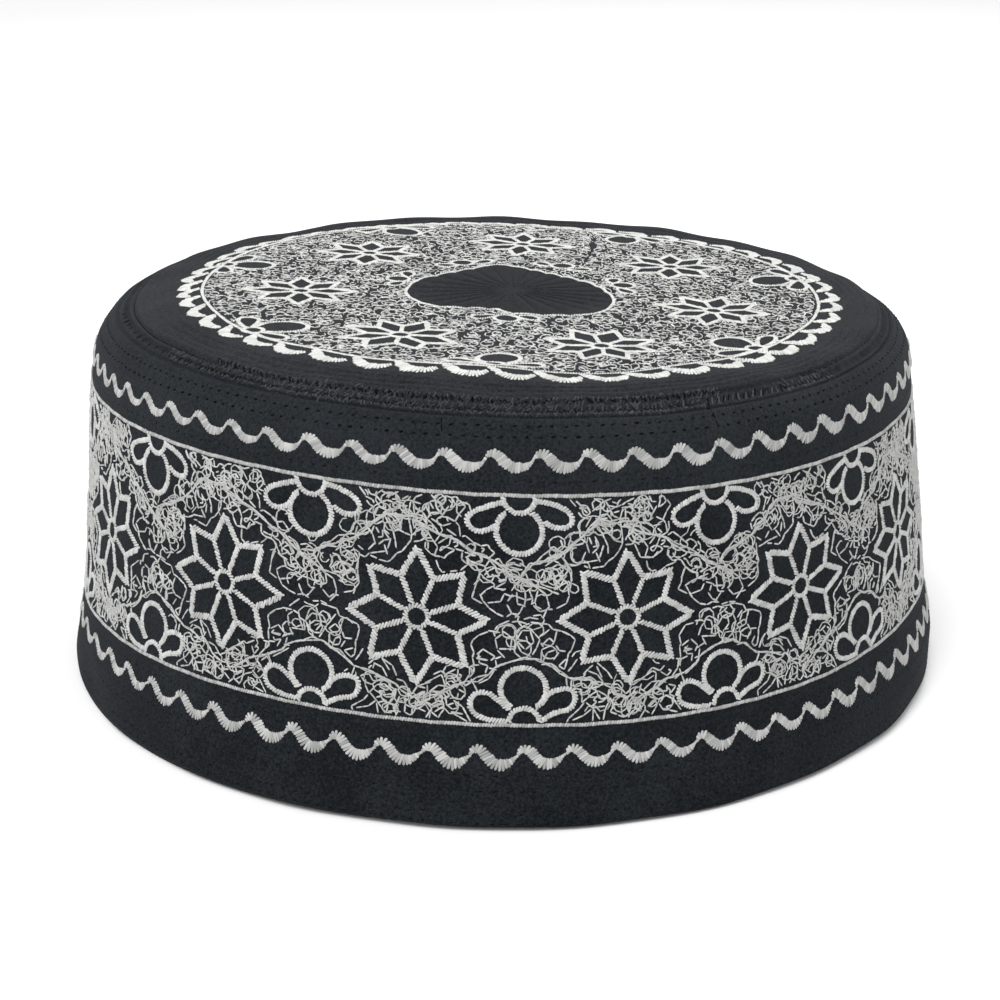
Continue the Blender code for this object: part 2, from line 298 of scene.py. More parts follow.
class Threads:
    """Gathers stitches, each from one chart point to another, and makes them one mesh."""

    def __init__(self, seed):
        self.rng = np.random.default_rng(seed)
        self.sets = []

    def add(self, chart, a, b, width, height, rings, kind=0):
        a, b = np.asarray(a, float).reshape(-1, 2), np.asarray(b, float).reshape(-1, 2)
        if len(a):
            self.sets.append((chart, a, b, np.broadcast_to(width, len(a)), np.broadcast_to(height, len(a)), rings, kind))

    def satin(self, chart, path, width, pitch=0.50, slant=50.0, thread=0.50, height=0.34, uneven=0.09):
        """Close stitches side by side across a path. width is one number, or one for each path point."""
        path = np.asarray(path, float)
        step = np.hypot(*np.diff(path, axis=0).T)
        far = np.concatenate([[0.0], np.cumsum(step)])
        n = max(2, int(round(far[-1] / pitch)))
        at = (np.arange(n) + 0.5) / n * far[-1]
        c = np.stack([np.interp(at, far, path[:, k]) for k in (0, 1)], -1)
        w = np.interp(at, far, np.broadcast_to(np.asarray(width, float), len(path)))
        e = min(0.3, 0.2 * far[-1])
        ahead = np.stack([np.interp(at + e, far, path[:, k]) - np.interp(at - e, far, path[:, k]) for k in (0, 1)], -1)
        ahead /= np.maximum(np.hypot(*ahead.T), 1e-9)[:, None]
        s = np.radians(np.broadcast_to(slant, n) + self.rng.normal(0, 3.0, n))
        d = np.stack([ahead[:, 0] * np.cos(s) - ahead[:, 1] * np.sin(s), ahead[:, 0] * np.sin(s) + ahead[:, 1] * np.cos(s)], -1)
        half = 0.5 * w / np.sin(s)
        up = half * (1 + self.rng.normal(0, uneven, n))
        down = half * (1 + self.rng.normal(0, uneven, n))
        self.add(chart, c - d * down[:, None], c + d * up[:, None], thread * (1 + self.rng.normal(0, 0.05, n)), height * (1 + self.rng.normal(0, 0.10, n)), SATIN_RINGS)

    def running(self, chart, path, longest=2.6, thread=0.35, height=0.20, gap=0.0, shake=0.0, kind=0):
        """Single stitches end to end along a path, one for each of its legs, or more where a leg is long."""
        path = np.asarray(path, float)
        if shake:
            path = path + self.rng.normal(0, shake, path.shape)
        a, b = [], []
        for p, q in zip(path[:-1], path[1:]):
            n = max(1, int(math.ceil(np.hypot(*(q - p)) / longest)))
            t = np.linspace(0, 1, n + 1)[:, None]
            pts = p + (q - p) * t
            a.append(pts[:-1])
            b.append(pts[1:])
        a, b = np.concatenate(a), np.concatenate(b)
        d = b - a
        d /= np.maximum(np.hypot(*d.T), 1e-9)[:, None]
        n = len(a)
        self.add(chart, a + d * gap, b - d * gap, thread * (1 + self.rng.normal(0, 0.06, n)), height * (1 + self.rng.normal(0, 0.18, n)), RUNNING_RINGS, kind)

    def mesh(self, name, materials):
        points, faces, kinds, uvs, base = [], [], [], [], 0
        for chart, a, b, width, height, rings, kind in self.sets:
            rings = np.array(rings)
            m, n = len(a), len(rings)
            q = a[:, None] + (b - a)[:, None] * rings[None, :, :1]
            run, angle = chart.place(q)
            p, normal = on_body(chart, q)
            p = p + normal * relief(run, angle)[..., None]
            ahead = np.gradient(p, axis=1)
            side = np.cross(normal, ahead)
            side /= np.maximum(np.linalg.norm(side, axis=-1, keepdims=True), 1e-9)
            h = height[:, None] * rings[None, :, 1]
            w = 0.5 * width[:, None] * rings[None, :, 2]
            left = p + side * w[..., None] + normal * (0.25 * h - 0.06)[..., None]
            top = p + normal * (h + 0.02)[..., None]
            right = p - side * w[..., None] + normal * (0.25 * h - 0.06)[..., None]
            points.append(np.stack([left, top, right], axis=2).reshape(-1, 3))
            k = np.arange(m)[:, None, None] * (3 * n) + np.arange(n - 1)[None, :, None] * 3 + np.arange(2)[None, None, :]
            k = np.stack([k, k + 1, k + 4, k + 3], axis=-1).reshape(-1, 4)
            # along the strand and across it, in mm, for the twist of its plies
            along = np.linalg.norm(b - a, axis=-1)[:, None] * rings[None, :, 0]
            flat = np.stack(np.broadcast_arrays(along[..., None], np.arange(3) * 0.25), axis=-1).reshape(-1, 2)
            uvs.append(flat[k.ravel()])
            faces.append(k + base)
            kinds.append(np.full(len(k), kind))
            base += m * n * 3
        return new_mesh(name, np.concatenate(points), [np.concatenate(faces)], materials, np.concatenate(kinds), ("thread_grid", np.concatenate(uvs)))


def curve(points, step=0.25, closed=False):
    """A smooth line through points, as a dense polyline."""
    p = np.asarray(points, float)
    p = np.concatenate([p[-1:], p, p[:2]]) if closed else np.concatenate([2 * p[:1] - p[1:2], p, 2 * p[-1:] - p[-2:-1]])
    out = []
    for a, b, c, d in zip(p[:-3], p[1:-2], p[2:-1], p[3:]):
        n = max(2, int(np.linalg.norm((c - b)[:2]) / step))
        t = np.linspace(0, 1, n, endpoint=False)[:, None]
        out.append(0.5 * (2 * b + (c - a) * t + (2 * a - 5 * b + 4 * c - d) * t**2 + (3 * b - a - 3 * c + d) * t**3))
    out.append(p[-2:-1] if not closed else p[1:2])
    return np.concatenate(out)


def arc(centre, radius, start, stop, n=40):
    t = np.radians(np.linspace(start, stop, n))
    return np.stack([centre[0] + radius * np.cos(t), centre[1] + radius * np.sin(t)], -1)


def line(a, b, n=2):
    return np.array(a, float) + (np.array(b, float) - np.array(a, float)) * np.linspace(0, 1, n)[:, None]


# ---------------------------------------------------------------- cloth

ROUND_SEGMENTS = 480


def steps(*parts):
    """Growing places from (start, step), (start, step), ... end."""
    out = []
    for (start, step), (stop, _) in zip(parts[:-1], parts[1:]):
        out.append(np.linspace(start, stop, max(1, int(round((stop - start) / step))), endpoint=False))
    return np.concatenate(out + [[parts[-1][0]]])


def cloth_rings(runs, angle, depth=None):
    """Rings of points at runs, raised and sunk by the relief, or sunk into the cloth by depth."""
    run, a = np.meshgrid(runs, angle, indexing="ij")
    q = np.stack([a * 88.5, run], -1)
    e = 0.4
    dx = bare(run, a + 0.005) - bare(run, a - 0.005)
    dy = bare(np.minimum(run + e, END - 0.2), a) - bare(np.maximum(run - e, 0.0), a)
    n = np.cross(dx, dy)
    n /= np.linalg.norm(n, axis=-1, keepdims=True)
    if depth is None:
        return bare(run, a) + n * relief(run, a)[..., None]
    return bare(run, a) - n * np.broadcast_to(depth, np.shape(runs))[:, None, None]


def tube_faces(rings, joined):
    """Quads of a tube of rings. joined makes its last ring meet its first."""
    m = ROUND_SEGMENTS
    k = np.arange(rings if joined else rings - 1)[:, None]
    i = np.arange(m)[None, :]
    a, b = k * m, (k + 1) % rings * m
    j = (i + 1) % m
    return np.stack(np.broadcast_arrays(a + i, a + j, b + j, b + i), -1).reshape(-1, 4)


def tube_uv(grid_x, grid_y, joined):
    """Corner places for tube_faces, from one column more than the tube has, so that none wraps."""
    if joined:
        grid_x, grid_y = np.vstack([grid_x, grid_x[:1]]), np.vstack([grid_y, grid_y[:1]])
    g = np.stack([grid_x, grid_y], -1)
    return np.stack([g[:-1, :-1], g[:-1, 1:], g[1:, 1:], g[1:, :-1]], axis=2).reshape(-1, 2)


def make_side_band(outer, inner):
    angle = np.linspace(0, 2 * np.pi, ROUND_SEGMENTS, endpoint=False)
    edge = SEAM - SEAM_GAP / 2
    runs = steps((0.0, 0.4), (2.0, 0.7), (8.0, 0.25), (10.4, 0.8), (20.0, 2.0), (62.0, 0.9), (76.0, 0.16), (edge, 0))
    outside = cloth_rings(runs, angle)
    down = steps((0.0, 2.5), (edge - ROW["hem_bulge"] - 2.0, 0))
    inside_runs = edge - down
    rise = np.clip((inside_runs - ROW["hem_bulge"]) / (ROW["hem_top"] - ROW["hem_bulge"]), 0, 1)
    inside = cloth_rings(inside_runs, angle, HEM_WALL + (BAND_WALL - HEM_WALL) * rise)
    rim = outside[0]
    flat = rim.copy()
    flat[:, :2] -= RIM_FLAT * rim[:, :2] / np.linalg.norm(rim[:, :2], axis=1, keepdims=True)
    rings = np.concatenate([outside, inside, flat[None]])
    around = np.linspace(0, 2 * np.pi, ROUND_SEGMENTS + 1) * 88.5
    up = np.concatenate([runs, edge + 3.0 + down, [edge + 3.0 + down[-1] + 6.0]])
    x, y = np.broadcast_arrays(around[None, :], up[:, None])
    faces = tube_faces(len(rings), True)
    part = np.where(np.arange(len(faces)) // ROUND_SEGMENTS < len(runs), 0, 1)
    return new_mesh("side_band_cloth", rings.reshape(-1, 3), [faces], [outer, inner], part, ("cloth_grid", tube_uv(x, y, True)))


def make_crown(outer, inner):
    angle = np.linspace(0, 2 * np.pi, ROUND_SEGMENTS, endpoint=False)
    edge = SEAM + SEAM_GAP / 2
    runs = steps((edge, 0.16), (81.4, 0.30), (89.0, 0.8), (96.0, 1.3), (138.0, 0.8), (END - 0.8, 0))
    outside = cloth_rings(runs, angle)
    inside_runs = steps((20.0, 4.0), (END - edge, 0))
    inside = cloth_rings(END - inside_runs, angle, CROWN_WALL)
    inside = np.concatenate([cloth_rings(np.array([END - 6.0]), angle, CROWN_WALL), inside])
    rings = np.concatenate([inside, outside])
    mid = bare(np.array([END]), np.zeros(1))
    points = np.concatenate([rings.reshape(-1, 3), mid - (0, 0, CROWN_WALL), mid + (0, 0, float(relief(np.array(END), np.array(0.0))))])
    quads = tube_faces(len(rings), False)
    n, m = len(rings) * ROUND_SEGMENTS, ROUND_SEGMENTS
    i = np.arange(m)
    j = (i + 1) % m
    low = np.stack([np.full(m, n), j, i], -1)
    high = np.stack([np.full(m, n + 1), n - m + i, n - m + j], -1)
    around = np.linspace(0, 2 * np.pi, m + 1)
    far = np.concatenate([[6.0], inside_runs, END - runs])
    x, y = far[:, None] * np.sin(around), -far[:, None] * np.cos(around)
    g = np.stack([x, y], -1)
    z = np.zeros((m, 2))
    uv = np.concatenate([
        tube_uv(x, y, False),
        np.stack([z, g[0, 1:], g[0, :-1]], 1).reshape(-1, 2),
        np.stack([z, g[-1, :-1], g[-1, 1:]], 1).reshape(-1, 2),
    ])
    part = np.concatenate([np.where(np.arange(len(quads)) // m < len(inside), 1, 0), np.ones(m), np.zeros(m)])
    return new_mesh("crown_cloth", points, [quads, low, high], [outer, inner], part, ("cloth_grid", uv))


# ---------------------------------------------------------------- motifs, in mm


def turned(points, degrees, scale=1.0, to=(0.0, 0.0)):
    t = np.radians(degrees)
    p = np.asarray(points, float) * scale
    return np.stack([p[:, 0] * np.cos(t) - p[:, 1] * np.sin(t) + to[0], p[:, 0] * np.sin(t) + p[:, 1] * np.cos(t) + to[1]], -1)


def star_paths(rng, scale=1.0, notch_scale=1.0, stroke=1.0):
    """An eight-pointed star of kite-shaped petals: (path, stroke width, slant) for each line."""
    tips = np.array([12.6, 12.0] * 4) + rng.normal(0, 0.2, 8)
    notches = 7.9 / scale * notch_scale + rng.normal(0, 0.3, 8)
    tip_at = np.radians(45.0 * np.arange(8) + rng.normal(0, 0.8, 8))
    notch_at = np.radians(22.5 + 45.0 * np.arange(8) + rng.normal(0, 1.2, 8))
    tip = np.stack([tips * np.cos(tip_at), tips * np.sin(tip_at)], -1) * scale
    notch = np.stack([notches * np.cos(notch_at), notches * np.sin(notch_at)], -1) * scale
    out = []
    for k in range(8):
        out.append((line(tip[k], notch[k], 8), 1.18 * stroke, 46.0))
        out.append((line(notch[k], tip[(k + 1) % 8], 8), 1.18 * stroke, 46.0))
        out.append((line(notch[k] * (2.5 / 7.9), notch[k] * 0.97, 8), 1.0 * stroke, 46.0))
    ring = arc((0, 0), 2.05 * max(scale, 0.9), 0, 360, 24)
    out.append((ring, 0.95 * stroke, 52.0))
    outline = np.stack([tip, notch], 1).reshape(-1, 2)
    return out, outline


def star_outline():
    """The star's outer corners, without its small unevenness."""
    out = []
    for k in range(8):
        for far, at in ((13.0, 45.0 * k), (8.6, 45.0 * k + 22.5)):
            out.append((far * math.cos(math.radians(at)), far * math.sin(math.radians(at))))
    return np.array(out)


TOP_TREFOIL = (
    (arc((-0.45, 62.2), 2.9, 180, 360, 24), 1.1),
    (arc((-0.55, 56.0), 4.15, 124, 418, 40), 1.15),
    (curve([(-3.05, 61.27), (-5.68, 60.5), (-8.41, 59.36), (-9.64, 58.23), (-9.55, 56.86), (-8.18, 55.82), (-6.36, 55.95), (-4.77, 56.86)]), 1.1),
    (curve([(2.5, 61.64), (5.23, 61.09), (7.73, 60.05), (8.95, 58.68), (8.64, 57.18), (7.05, 56.64), (5.45, 56.86), (3.86, 57.77)]), 1.1),
)
BOTTOM_TREFOIL = (
    (arc((0.09, 20.05), 2.7, 0, 180, 24), 1.1),
    (arc((-0.30, 26.3), 4.05, -58, 238, 40), 1.15),
    (curve([(-2.73, 22.55), (-4.32, 24.14), (-6.59, 25.73), (-8.64, 25.5), (-9.55, 23.91), (-9.09, 22.09), (-7.27, 20.95), (-4.77, 20.5), (-2.95, 20.5)]), 1.1),
    (curve([(2.95, 23.68), (4.32, 25.5), (6.59, 26.41), (8.64, 25.95), (8.86, 24.14), (7.73, 22.55), (5.23, 21.86), (2.95, 20.5)]), 1.1),
)
UPPER_UNIT = (
    (-5.14, 69.35, 0.42), (-4.75, 69.82, 1.10), (-4.10, 70.05, 1.55), (-3.30, 69.80, 1.85), (-2.40, 68.95, 2.0), (-1.50, 68.0, 2.0),
    (-0.60, 67.5, 1.95), (0.40, 67.45, 1.85), (1.35, 67.62, 1.50), (2.10, 67.95, 1.10), (2.65, 68.42, 0.62), (3.27, 69.35, 0.42),
)
LOWER_UNIT = (
    (-4.86, 14.12, 0.42), (-4.50, 14.78, 1.0), (-3.80, 15.22, 1.45), (-3.05, 14.98, 1.80), (-2.20, 14.05, 1.95), (-1.30, 13.0, 2.0),
    (-0.40, 12.48, 2.0), (0.60, 12.48, 1.85), (1.50, 12.80, 1.45), (2.20, 13.25, 1.0), (2.75, 13.72, 0.55), (3.32, 14.12, 0.42),
)
# the same wave on the crown, as distances from its middle
CROWN_UNIT = (
    (-4.8, 66.4, 0.6), (-4.1, 66.9, 1.6), (-3.1, 68.0, 2.4), (-1.9, 69.3, 2.8), (-0.4, 70.1, 2.9),
    (1.1, 70.2, 2.8), (2.4, 69.8, 2.4), (3.3, 69.2, 1.8), (3.9, 68.6, 1.0),
)

# the crown's trefoils, with y towards the middle of the crown: on the outer line, from its foot
CROWN_TREFOIL = (
    (arc((0.0, 0.3), 2.0, 0, 360, 24), 0.9),
    (curve([(-1.8, 1.6), (-3.6, 4.6), (-3.7, 7.8), (-2.0, 10.4), (0.6, 10.9), (3.2, 9.4), (4.0, 6.4), (2.9, 3.2), (1.6, 1.6)]), 0.95),
    (curve([(-1.9, 0.9), (-4.4, 3.2), (-6.9, 4.6), (-9.0, 3.9), (-9.3, 2.0), (-7.5, 0.6), (-4.8, 0.0), (-2.1, -0.1)]), 0.9),
    (curve([(1.9, 0.9), (4.6, 2.9), (7.0, 3.9), (8.8, 3.1), (9.0, 1.5), (7.3, 0.3), (4.8, -0.2), (2.1, -0.1)]), 0.9),
)
# and on the plain middle, from the middle itself
SMALL_TREFOIL = (
    (arc((0.2, -25.2), 2.5, 0, 360, 26), 0.85),
    (curve([(-2.2, -24.2), (-4.2, -25.8), (-6.2, -26.2), (-7.0, -24.9), (-6.0, -23.4), (-4.0, -22.9), (-2.3, -23.3)]), 0.8),
    (curve([(2.4, -24.2), (4.2, -25.6), (6.0, -25.8), (6.7, -24.5), (5.8, -23.1), (4.0, -22.7), (2.5, -23.2)]), 0.8),
)

# One repeat of the wall's thread net, between two stars: x from the middle between them and the
# height along the cloth, in mm. Each leg is a stitch.
NET = (
    ((-7.5, 48), (-8.2, 47), (-8.7, 44.9), (-9.1, 43.5), (-7.4, 42.6)),
    ((-7.6, 44.1), (-7.1, 43), (-6.3, 41.6), (-5, 40.6), (-3.7, 40.1)),
    ((-7.6, 44.1), (-6.6, 44.8), (-5.4, 45.5)),
    ((-6.6, 42.5), (-4.4, 43.1), (-3.6, 44.3)),
    ((-3.2, 40.1), (-1.9, 40.6), (-0.7, 39.9)),
    ((-0.2, 39.8), (1, 39.9)),
    ((1.4, 39.9), (2.7, 39.7)),
    ((3.1, 39.9), (4.2, 41.5), (4.6, 42.2), (3.9, 44.3), (2.7, 45.3)),
    ((4.2, 41.6), (5.2, 41.6)),
    ((5.9, 41.9), (7.6, 42.9), (8.5, 44.1), (8.2, 45.9), (8.4, 46.6), (8.5, 48.5), (8.2, 49.9)),
    ((7.1, 44.6), (7.9, 45.6)),
    ((1.7, 42.3), (2.7, 40.9), (4.2, 41.4)),
    ((-2.9, 42.9), (-2.2, 44.1)),
    ((-2.9, 42.3), (-2.3, 40.8), (-1.4, 40.5)),
    ((0, 42.1), (-0.7, 40.9), (-1.6, 40.2)),
    ((-3.5, 44.5), (-2.2, 44.1), (-1.4, 43.8), (0.3, 43.3), (1.2, 43.6)),
    ((-1.3, 44.9), (-1.2, 42.6), (-0.7, 42.2), (0.4, 42.2)),
    ((-2, 44.9), (-1, 46.2), (-0.7, 47.2)),
    ((-0.5, 46), (0.3, 45), (0.4, 43.3), (0.3, 42.2)),
    ((1.4, 45.2), (1.2, 44.5), (1.7, 43.3), (1.4, 42.5)),
    ((2.5, 45), (2.4, 43.6), (1.8, 42.8), (1.2, 42.5)),
    ((0.5, 47.9), (1.1, 46.6), (2.1, 45.9), (4.1, 45.5), (5.2, 44.6), (6.5, 44.5)),
    ((-0.5, 47.6), (0.4, 48.9), (1.4, 49.9), (2.8, 50.3)),
    ((-2.7, 49.7), (-1.6, 50), (-0.2, 49.4)),
    ((-2.4, 49.1), (-0, 49.1)),
    ((-2.3, 48.9), (-0.2, 48.9)),
    ((-6.6, 47.9), (-6, 48.6), (-5, 49.2), (-4.4, 48.5), (-4, 47.7), (-4.7, 47.5), (-5.3, 48), (-5.7, 47.5), (-6.4, 47.3)),
    ((-4.4, 46.5), (-3.2, 47.2), (-2.9, 47.9), (-3, 48.5)),
    ((-5, 45.6), (-3.3, 46.2)),
    ((-7, 47.2), (-5, 46.3), (-5, 45.5), (-3.6, 45.3), (-3, 45.2), (-3.6, 44.9), (-4.3, 45.3)),
    ((3.5, 47.2), (3.7, 48.6), (4.7, 49), (5.4, 47.9), (5.7, 46.8), (6.1, 45.2)),
    ((3, 46.5), (5.1, 47.5), (6.2, 48), (6.9, 47), (7.6, 46.6), (6.2, 45.8), (5.9, 45.2)),
    ((3.5, 46.9), (3, 46.5), (3.9, 45.8), (5.2, 45.5), (6.1, 45.5)),
    ((6.9, 47.3), (5.7, 47), (6.4, 46)),
    ((7.6, 46.6), (8.2, 46)),
    ((-5, 37.5), (-4.4, 38.7), (-2.6, 39.4)),
    ((-2.2, 39.2), (-1, 39.2), (0.3, 38.6)),
    ((1, 38.9), (0.3, 38.5), (-0.7, 37.8), (-1.2, 36.9), (-1.4, 35.7)),
    ((1.4, 39.3), (2.7, 39.1), (4.5, 38.7), (5.2, 37.8), (6.8, 37.2), (8.4, 36.4), (9, 35.7), (8.5, 33.8), (8.1, 33), (7.8, 32.1), (7.6, 30.4), (7.1, 30), (6.2, 30.8), (7.5, 32)),
    ((-6.1, 37.3), (-4.4, 37.4)),
    ((-6.4, 37.2), (-7.8, 36.4), (-9.1, 35.2), (-9.3, 34.7), (-8.8, 33.1), (-9.1, 32.3), (-9, 30.6)),
    ((-4, 36.7), (-5.1, 36), (-4.9, 34.1)),
    ((-5.3, 37.2), (-5.4, 36.5)),
    ((-4.1, 37.2), (-2.7, 36.7), (-2.2, 35.8), (-2.4, 34)),
    ((-4.6, 33.8), (-1.6, 33.8), (-1.6, 35.8)),
    ((-4.6, 33.7), (-3.6, 32.4)),
    ((-1.4, 35.7), (-0.2, 37.4), (1.1, 37.5), (1.5, 35.5), (0.3, 34.1)),
    ((-1.4, 35.4), (-0.2, 34)),
    ((0.4, 38.4), (1, 37.7), (2.1, 37.1), (2.8, 35.7), (2.1, 34), (1.2, 32.8)),
    ((-1.2, 35.1), (-0.7, 33.4), (1.1, 32.4)),
    ((4.5, 37.8), (3.2, 36.4)),
    ((5.8, 37.2), (5.2, 35.2)),
    ((3.1, 34.8), (4.4, 36), (5.2, 35.2), (4.9, 34.7), (3.2, 34.1), (3.1, 31.8)),
    ((3, 35), (3.4, 34.1)),
    ((5.4, 34.7), (6.2, 33.7), (7.6, 33.5)),
    ((5.4, 34), (4.1, 33.4), (3.7, 31.8)),
    ((6.2, 33.1), (5.2, 31.7)),
    ((-7.1, 33.8), (-8.6, 32.8)),
    ((-7.1, 33.8), (-5.3, 32.4), (-6, 31.7)),
    ((-7.8, 32.7), (-8.4, 32), (-6.6, 31.8)),
    ((-5.1, 32.3), (-3.9, 32.8)),
    ((-5, 31.8), (-5.1, 30.4)),
    ((-8.1, 31.7), (-7.7, 31), (-6.6, 31), (-7.1, 29.4)),
    ((-9, 30.6), (-7.7, 30.7)),
    ((-10.1, 30.4), (-9.1, 30.1), (-9.3, 29)),
    ((-16, 61.7), (-15.4, 61.2), (-15.9, 60.6)),
    ((-15.4, 61.2), (-14.6, 61.7)),
    ((-15.4, 61.2), (-15.1, 59.4), (-14.6, 58.6)),
    ((-14.9, 61), (-13.9, 59.4)),
    ((-12.5, 61.7), (-12.4, 60.9), (-12.8, 59.7)),
    ((-12.5, 61.7), (-11.6, 61.9), (-11.1, 61.2), (-11.6, 60.6), (-12.6, 59.7)),
    ((-11.1, 61.2), (-10.2, 60), (-10.9, 58.9), (-11.9, 57.5), (-13.3, 58.1)),
    ((-12.9, 59.9), (-14.1, 58.3), (-14.6, 57.3)),
    ((-17.8, 58.7), (-17.5, 59.9), (-16.6, 60.2), (-15.8, 59.6)),
    ((-19.3, 59.4), (-18.5, 59.2), (-17.8, 58.5), (-16.8, 57.3), (-16.2, 56.5), (-14.6, 55)),
    ((-16.9, 57.5), (-16.2, 58.5), (-15.2, 58.9), (-14.2, 58.5)),
    ((-16.1, 57.6), (-14.5, 56.6), (-13.8, 56.2), (-12.5, 56.9)),
    ((-11.9, 57.5), (-11.2, 56.6), (-11, 54.9)),
    ((-13.3, 55.8), (-11.9, 54.8)),
    ((-18.8, 57), (-16.8, 56), (-15.2, 55.3), (-13.6, 54.8), (-12.2, 54.5)),
    ((-18.5, 56), (-16.8, 54.9), (-15.9, 53.8), (-15.1, 52.5), (-15.5, 50.8), (-14.5, 50.4), (-13.9, 50.5), (-13.1, 51.6)),
    ((-14.9, 53.3), (-13.6, 54.2), (-12.5, 54.5), (-13.1, 53.1), (-13.9, 51.8), (-14.6, 51.6), (-14.5, 52.5), (-13.4, 52.5), (-12.6, 52.1), (-12.1, 51.9), (-13.1, 51.2), (-13.9, 50.5)),
    ((-12.5, 53.3), (-11.6, 53.8), (-11.5, 52.8), (-12.4, 52.5)),
    ((-12.2, 52.2), (-10.5, 52.1)),
    ((-10.9, 54.6), (-10.1, 54.8), (-8.8, 53.9), (-7.5, 52.9), (-6.2, 53.2), (-5.7, 52.8), (-5.1, 51.9), (-5.5, 51.4), (-6.2, 50.8)),
    ((-7.5, 52.9), (-7, 52.5), (-7.2, 51.8)),
    ((-10.8, 51.8), (-10.9, 50.5), (-10.4, 49.8), (-9.2, 49.6), (-8.4, 49.8)),
    ((-10.2, 50.9), (-9.4, 50.2), (-8.2, 50.1)),
    ((-9.4, 51.6), (-8.2, 51.2)),
    ((-17.6, 53.1), (-17.2, 51.9), (-16.3, 50.9), (-14.5, 50.4)),
    ((-15.5, 50.1), (-15.1, 48.5), (-14.4, 47.9), (-13.5, 47.9)),
    ((-13.1, 47.9), (-11.6, 48.4)),
    ((-11.2, 48.5), (-10.2, 49.2), (-9.4, 49.6), (-8.4, 49.5), (-7.5, 47.9), (-6.5, 46.9), (-5.1, 46.4)),
    ((-17.6, 54.8), (-17.5, 53.9), (-18.2, 53.3), (-19.3, 53.2)),
    ((-17.5, 53.9), (-16.5, 54.9)),
    ((-7.7, 47.7), (-8.1, 47.1), (-8.7, 45.7)),
    ((-8.2, 49.9), (-7.4, 50.5), (-7.5, 50.8)),
    ((-8, 49.8), (-7, 49.5), (-6.5, 48.5), (-6, 47.5)),
    ((-6.8, 48.8), (-5.7, 49.5), (-5, 48.8), (-4.3, 47.7), (-5, 47.4), (-5.7, 47.9)),
    ((-6, 50.2), (-6.5, 49.4)),
    ((-5, 50.6), (-4.4, 50.8), (-3.7, 49.8), (-3, 49.2)),
    ((-3, 47.9), (-3, 47.2), (-4.4, 46.5)),
    ((-16.5, 60.2), (-16.6, 58.5), (-15.9, 57.9)),
    ((-19.3, 58.2), (-18.8, 58), (-19, 56.9), (-17.9, 57.2), (-17.6, 58.3)),
    ((8.8, 61.9), (9.9, 60.6)),
    ((9.8, 61.7), (10.9, 60.7), (12, 60.6), (12.9, 59.7)),
    ((10.1, 60.3), (11.2, 60), (11.9, 59.4)),
    ((10.2, 59.9), (10.9, 58.7), (11.9, 58.3)),
    ((11.2, 58.6), (10.5, 57.5), (10.3, 56.2)),
    ((12.5, 58.7), (11.3, 56.8)),
    ((13, 61.9), (14.7, 61.2), (16.2, 61.9)),
    ((14.9, 61.4), (14.3, 60.4)),
    ((15.6, 61.2), (16.2, 59.7), (16.6, 58.9)),
    ((16.7, 59.4), (17.7, 59.7)),
    ((18.3, 60), (20.6, 60.3)),
    ((20.6, 61.9), (19.4, 61.4), (18.6, 60.3)),
    ((18.3, 60), (17.9, 58), (18.4, 54.5), (18.2, 53.3), (17.7, 52.3), (16.6, 51.2), (15.5, 50.5), (14.7, 49.4), (13.9, 48.9), (12.6, 49.2)),
    ((10.9, 49.5), (12, 49.4)),
    ((19, 59.7), (19.1, 57.6), (19.9, 55.8), (20.6, 54.2)),
    ((20.6, 55.9), (19.1, 55), (18.7, 54.2)),
    ((12.9, 59.6), (14, 60.3), (15, 59.7), (16.2, 59.4), (16.4, 58.7), (17.7, 58), (19, 57.5), (20.6, 57.3)),
    ((13.2, 58.6), (14.3, 58.3), (15.6, 58.7)),
    ((13.5, 57.7), (14.9, 57), (15.7, 56), (16.3, 55.3), (16.7, 56.9), (17.2, 57.6)),
    ((14, 56.8), (15.2, 55.9), (16.2, 55), (17.2, 54.3), (18.3, 54.1)),
    ((11.9, 56), (13.8, 57.5)),
    ((13.8, 56.9), (15, 54.6), (15.5, 53.1), (15.6, 51.6)),
    ((12, 55), (12.6, 53.8)),
    ((13.2, 54.8), (14.2, 53.3), (13.5, 52.5), (12.6, 51.9)),
    ((13.2, 54.6), (13.3, 53.3), (12.6, 53.1)),
    ((13.2, 51.9), (14.2, 50.2)),
    ((14.7, 53.2), (14.2, 51.2)),
    ((10.5, 55.6), (10.9, 56), (12, 55.6), (13.2, 56.2)),
    ((10.3, 56.2), (10.5, 55), (11.2, 53.8), (12.2, 51.9)),
    ((11.2, 53.9), (11.6, 55)),
    ((7.5, 54.6), (8.2, 55.3), (9.2, 55.9), (10.3, 55.6)),
    ((7.2, 54.5), (7.2, 52.9)),
    ((7.9, 53.3), (8.6, 54.6)),
    ((8.8, 53.2), (9.8, 53.6), (10.9, 53.9)),
    ((2.1, 50.5), (3.5, 51.6), (4.9, 52.5), (6.1, 52.8), (6.9, 52.3)),
    ((2.8, 50.2), (4.2, 50.8), (4.9, 51.6)),
    ((3.5, 48.7), (4.7, 48.8), (5.4, 47.9), (5.7, 46.7), (5.9, 45.5)),
    ((3, 46.4), (3.7, 47.5), (3.5, 48.7)),
    ((4.9, 49.1), (6.4, 49.9), (7.8, 49.4), (8.4, 48.1), (8.4, 46.7)),
    ((5.4, 47.5), (6.8, 47.9), (7.2, 46.7), (6.1, 45.7)),
    ((10.5, 50.6), (11.6, 52.1)),
    ((10.8, 50.1), (13.5, 50.6)),
    ((8.6, 49.6), (9.9, 49.6), (10.9, 50.2)),
    ((8.4, 51.2), (9.5, 50.5)),
    ((4.2, 49.8), (5.4, 50.5), (6.4, 50.2), (7.1, 48.8), (6.4, 47.9)),
    ((6.1, 48.8), (6.9, 49.6), (7.9, 48.7), (7.5, 47.5), (6.4, 47.7)),
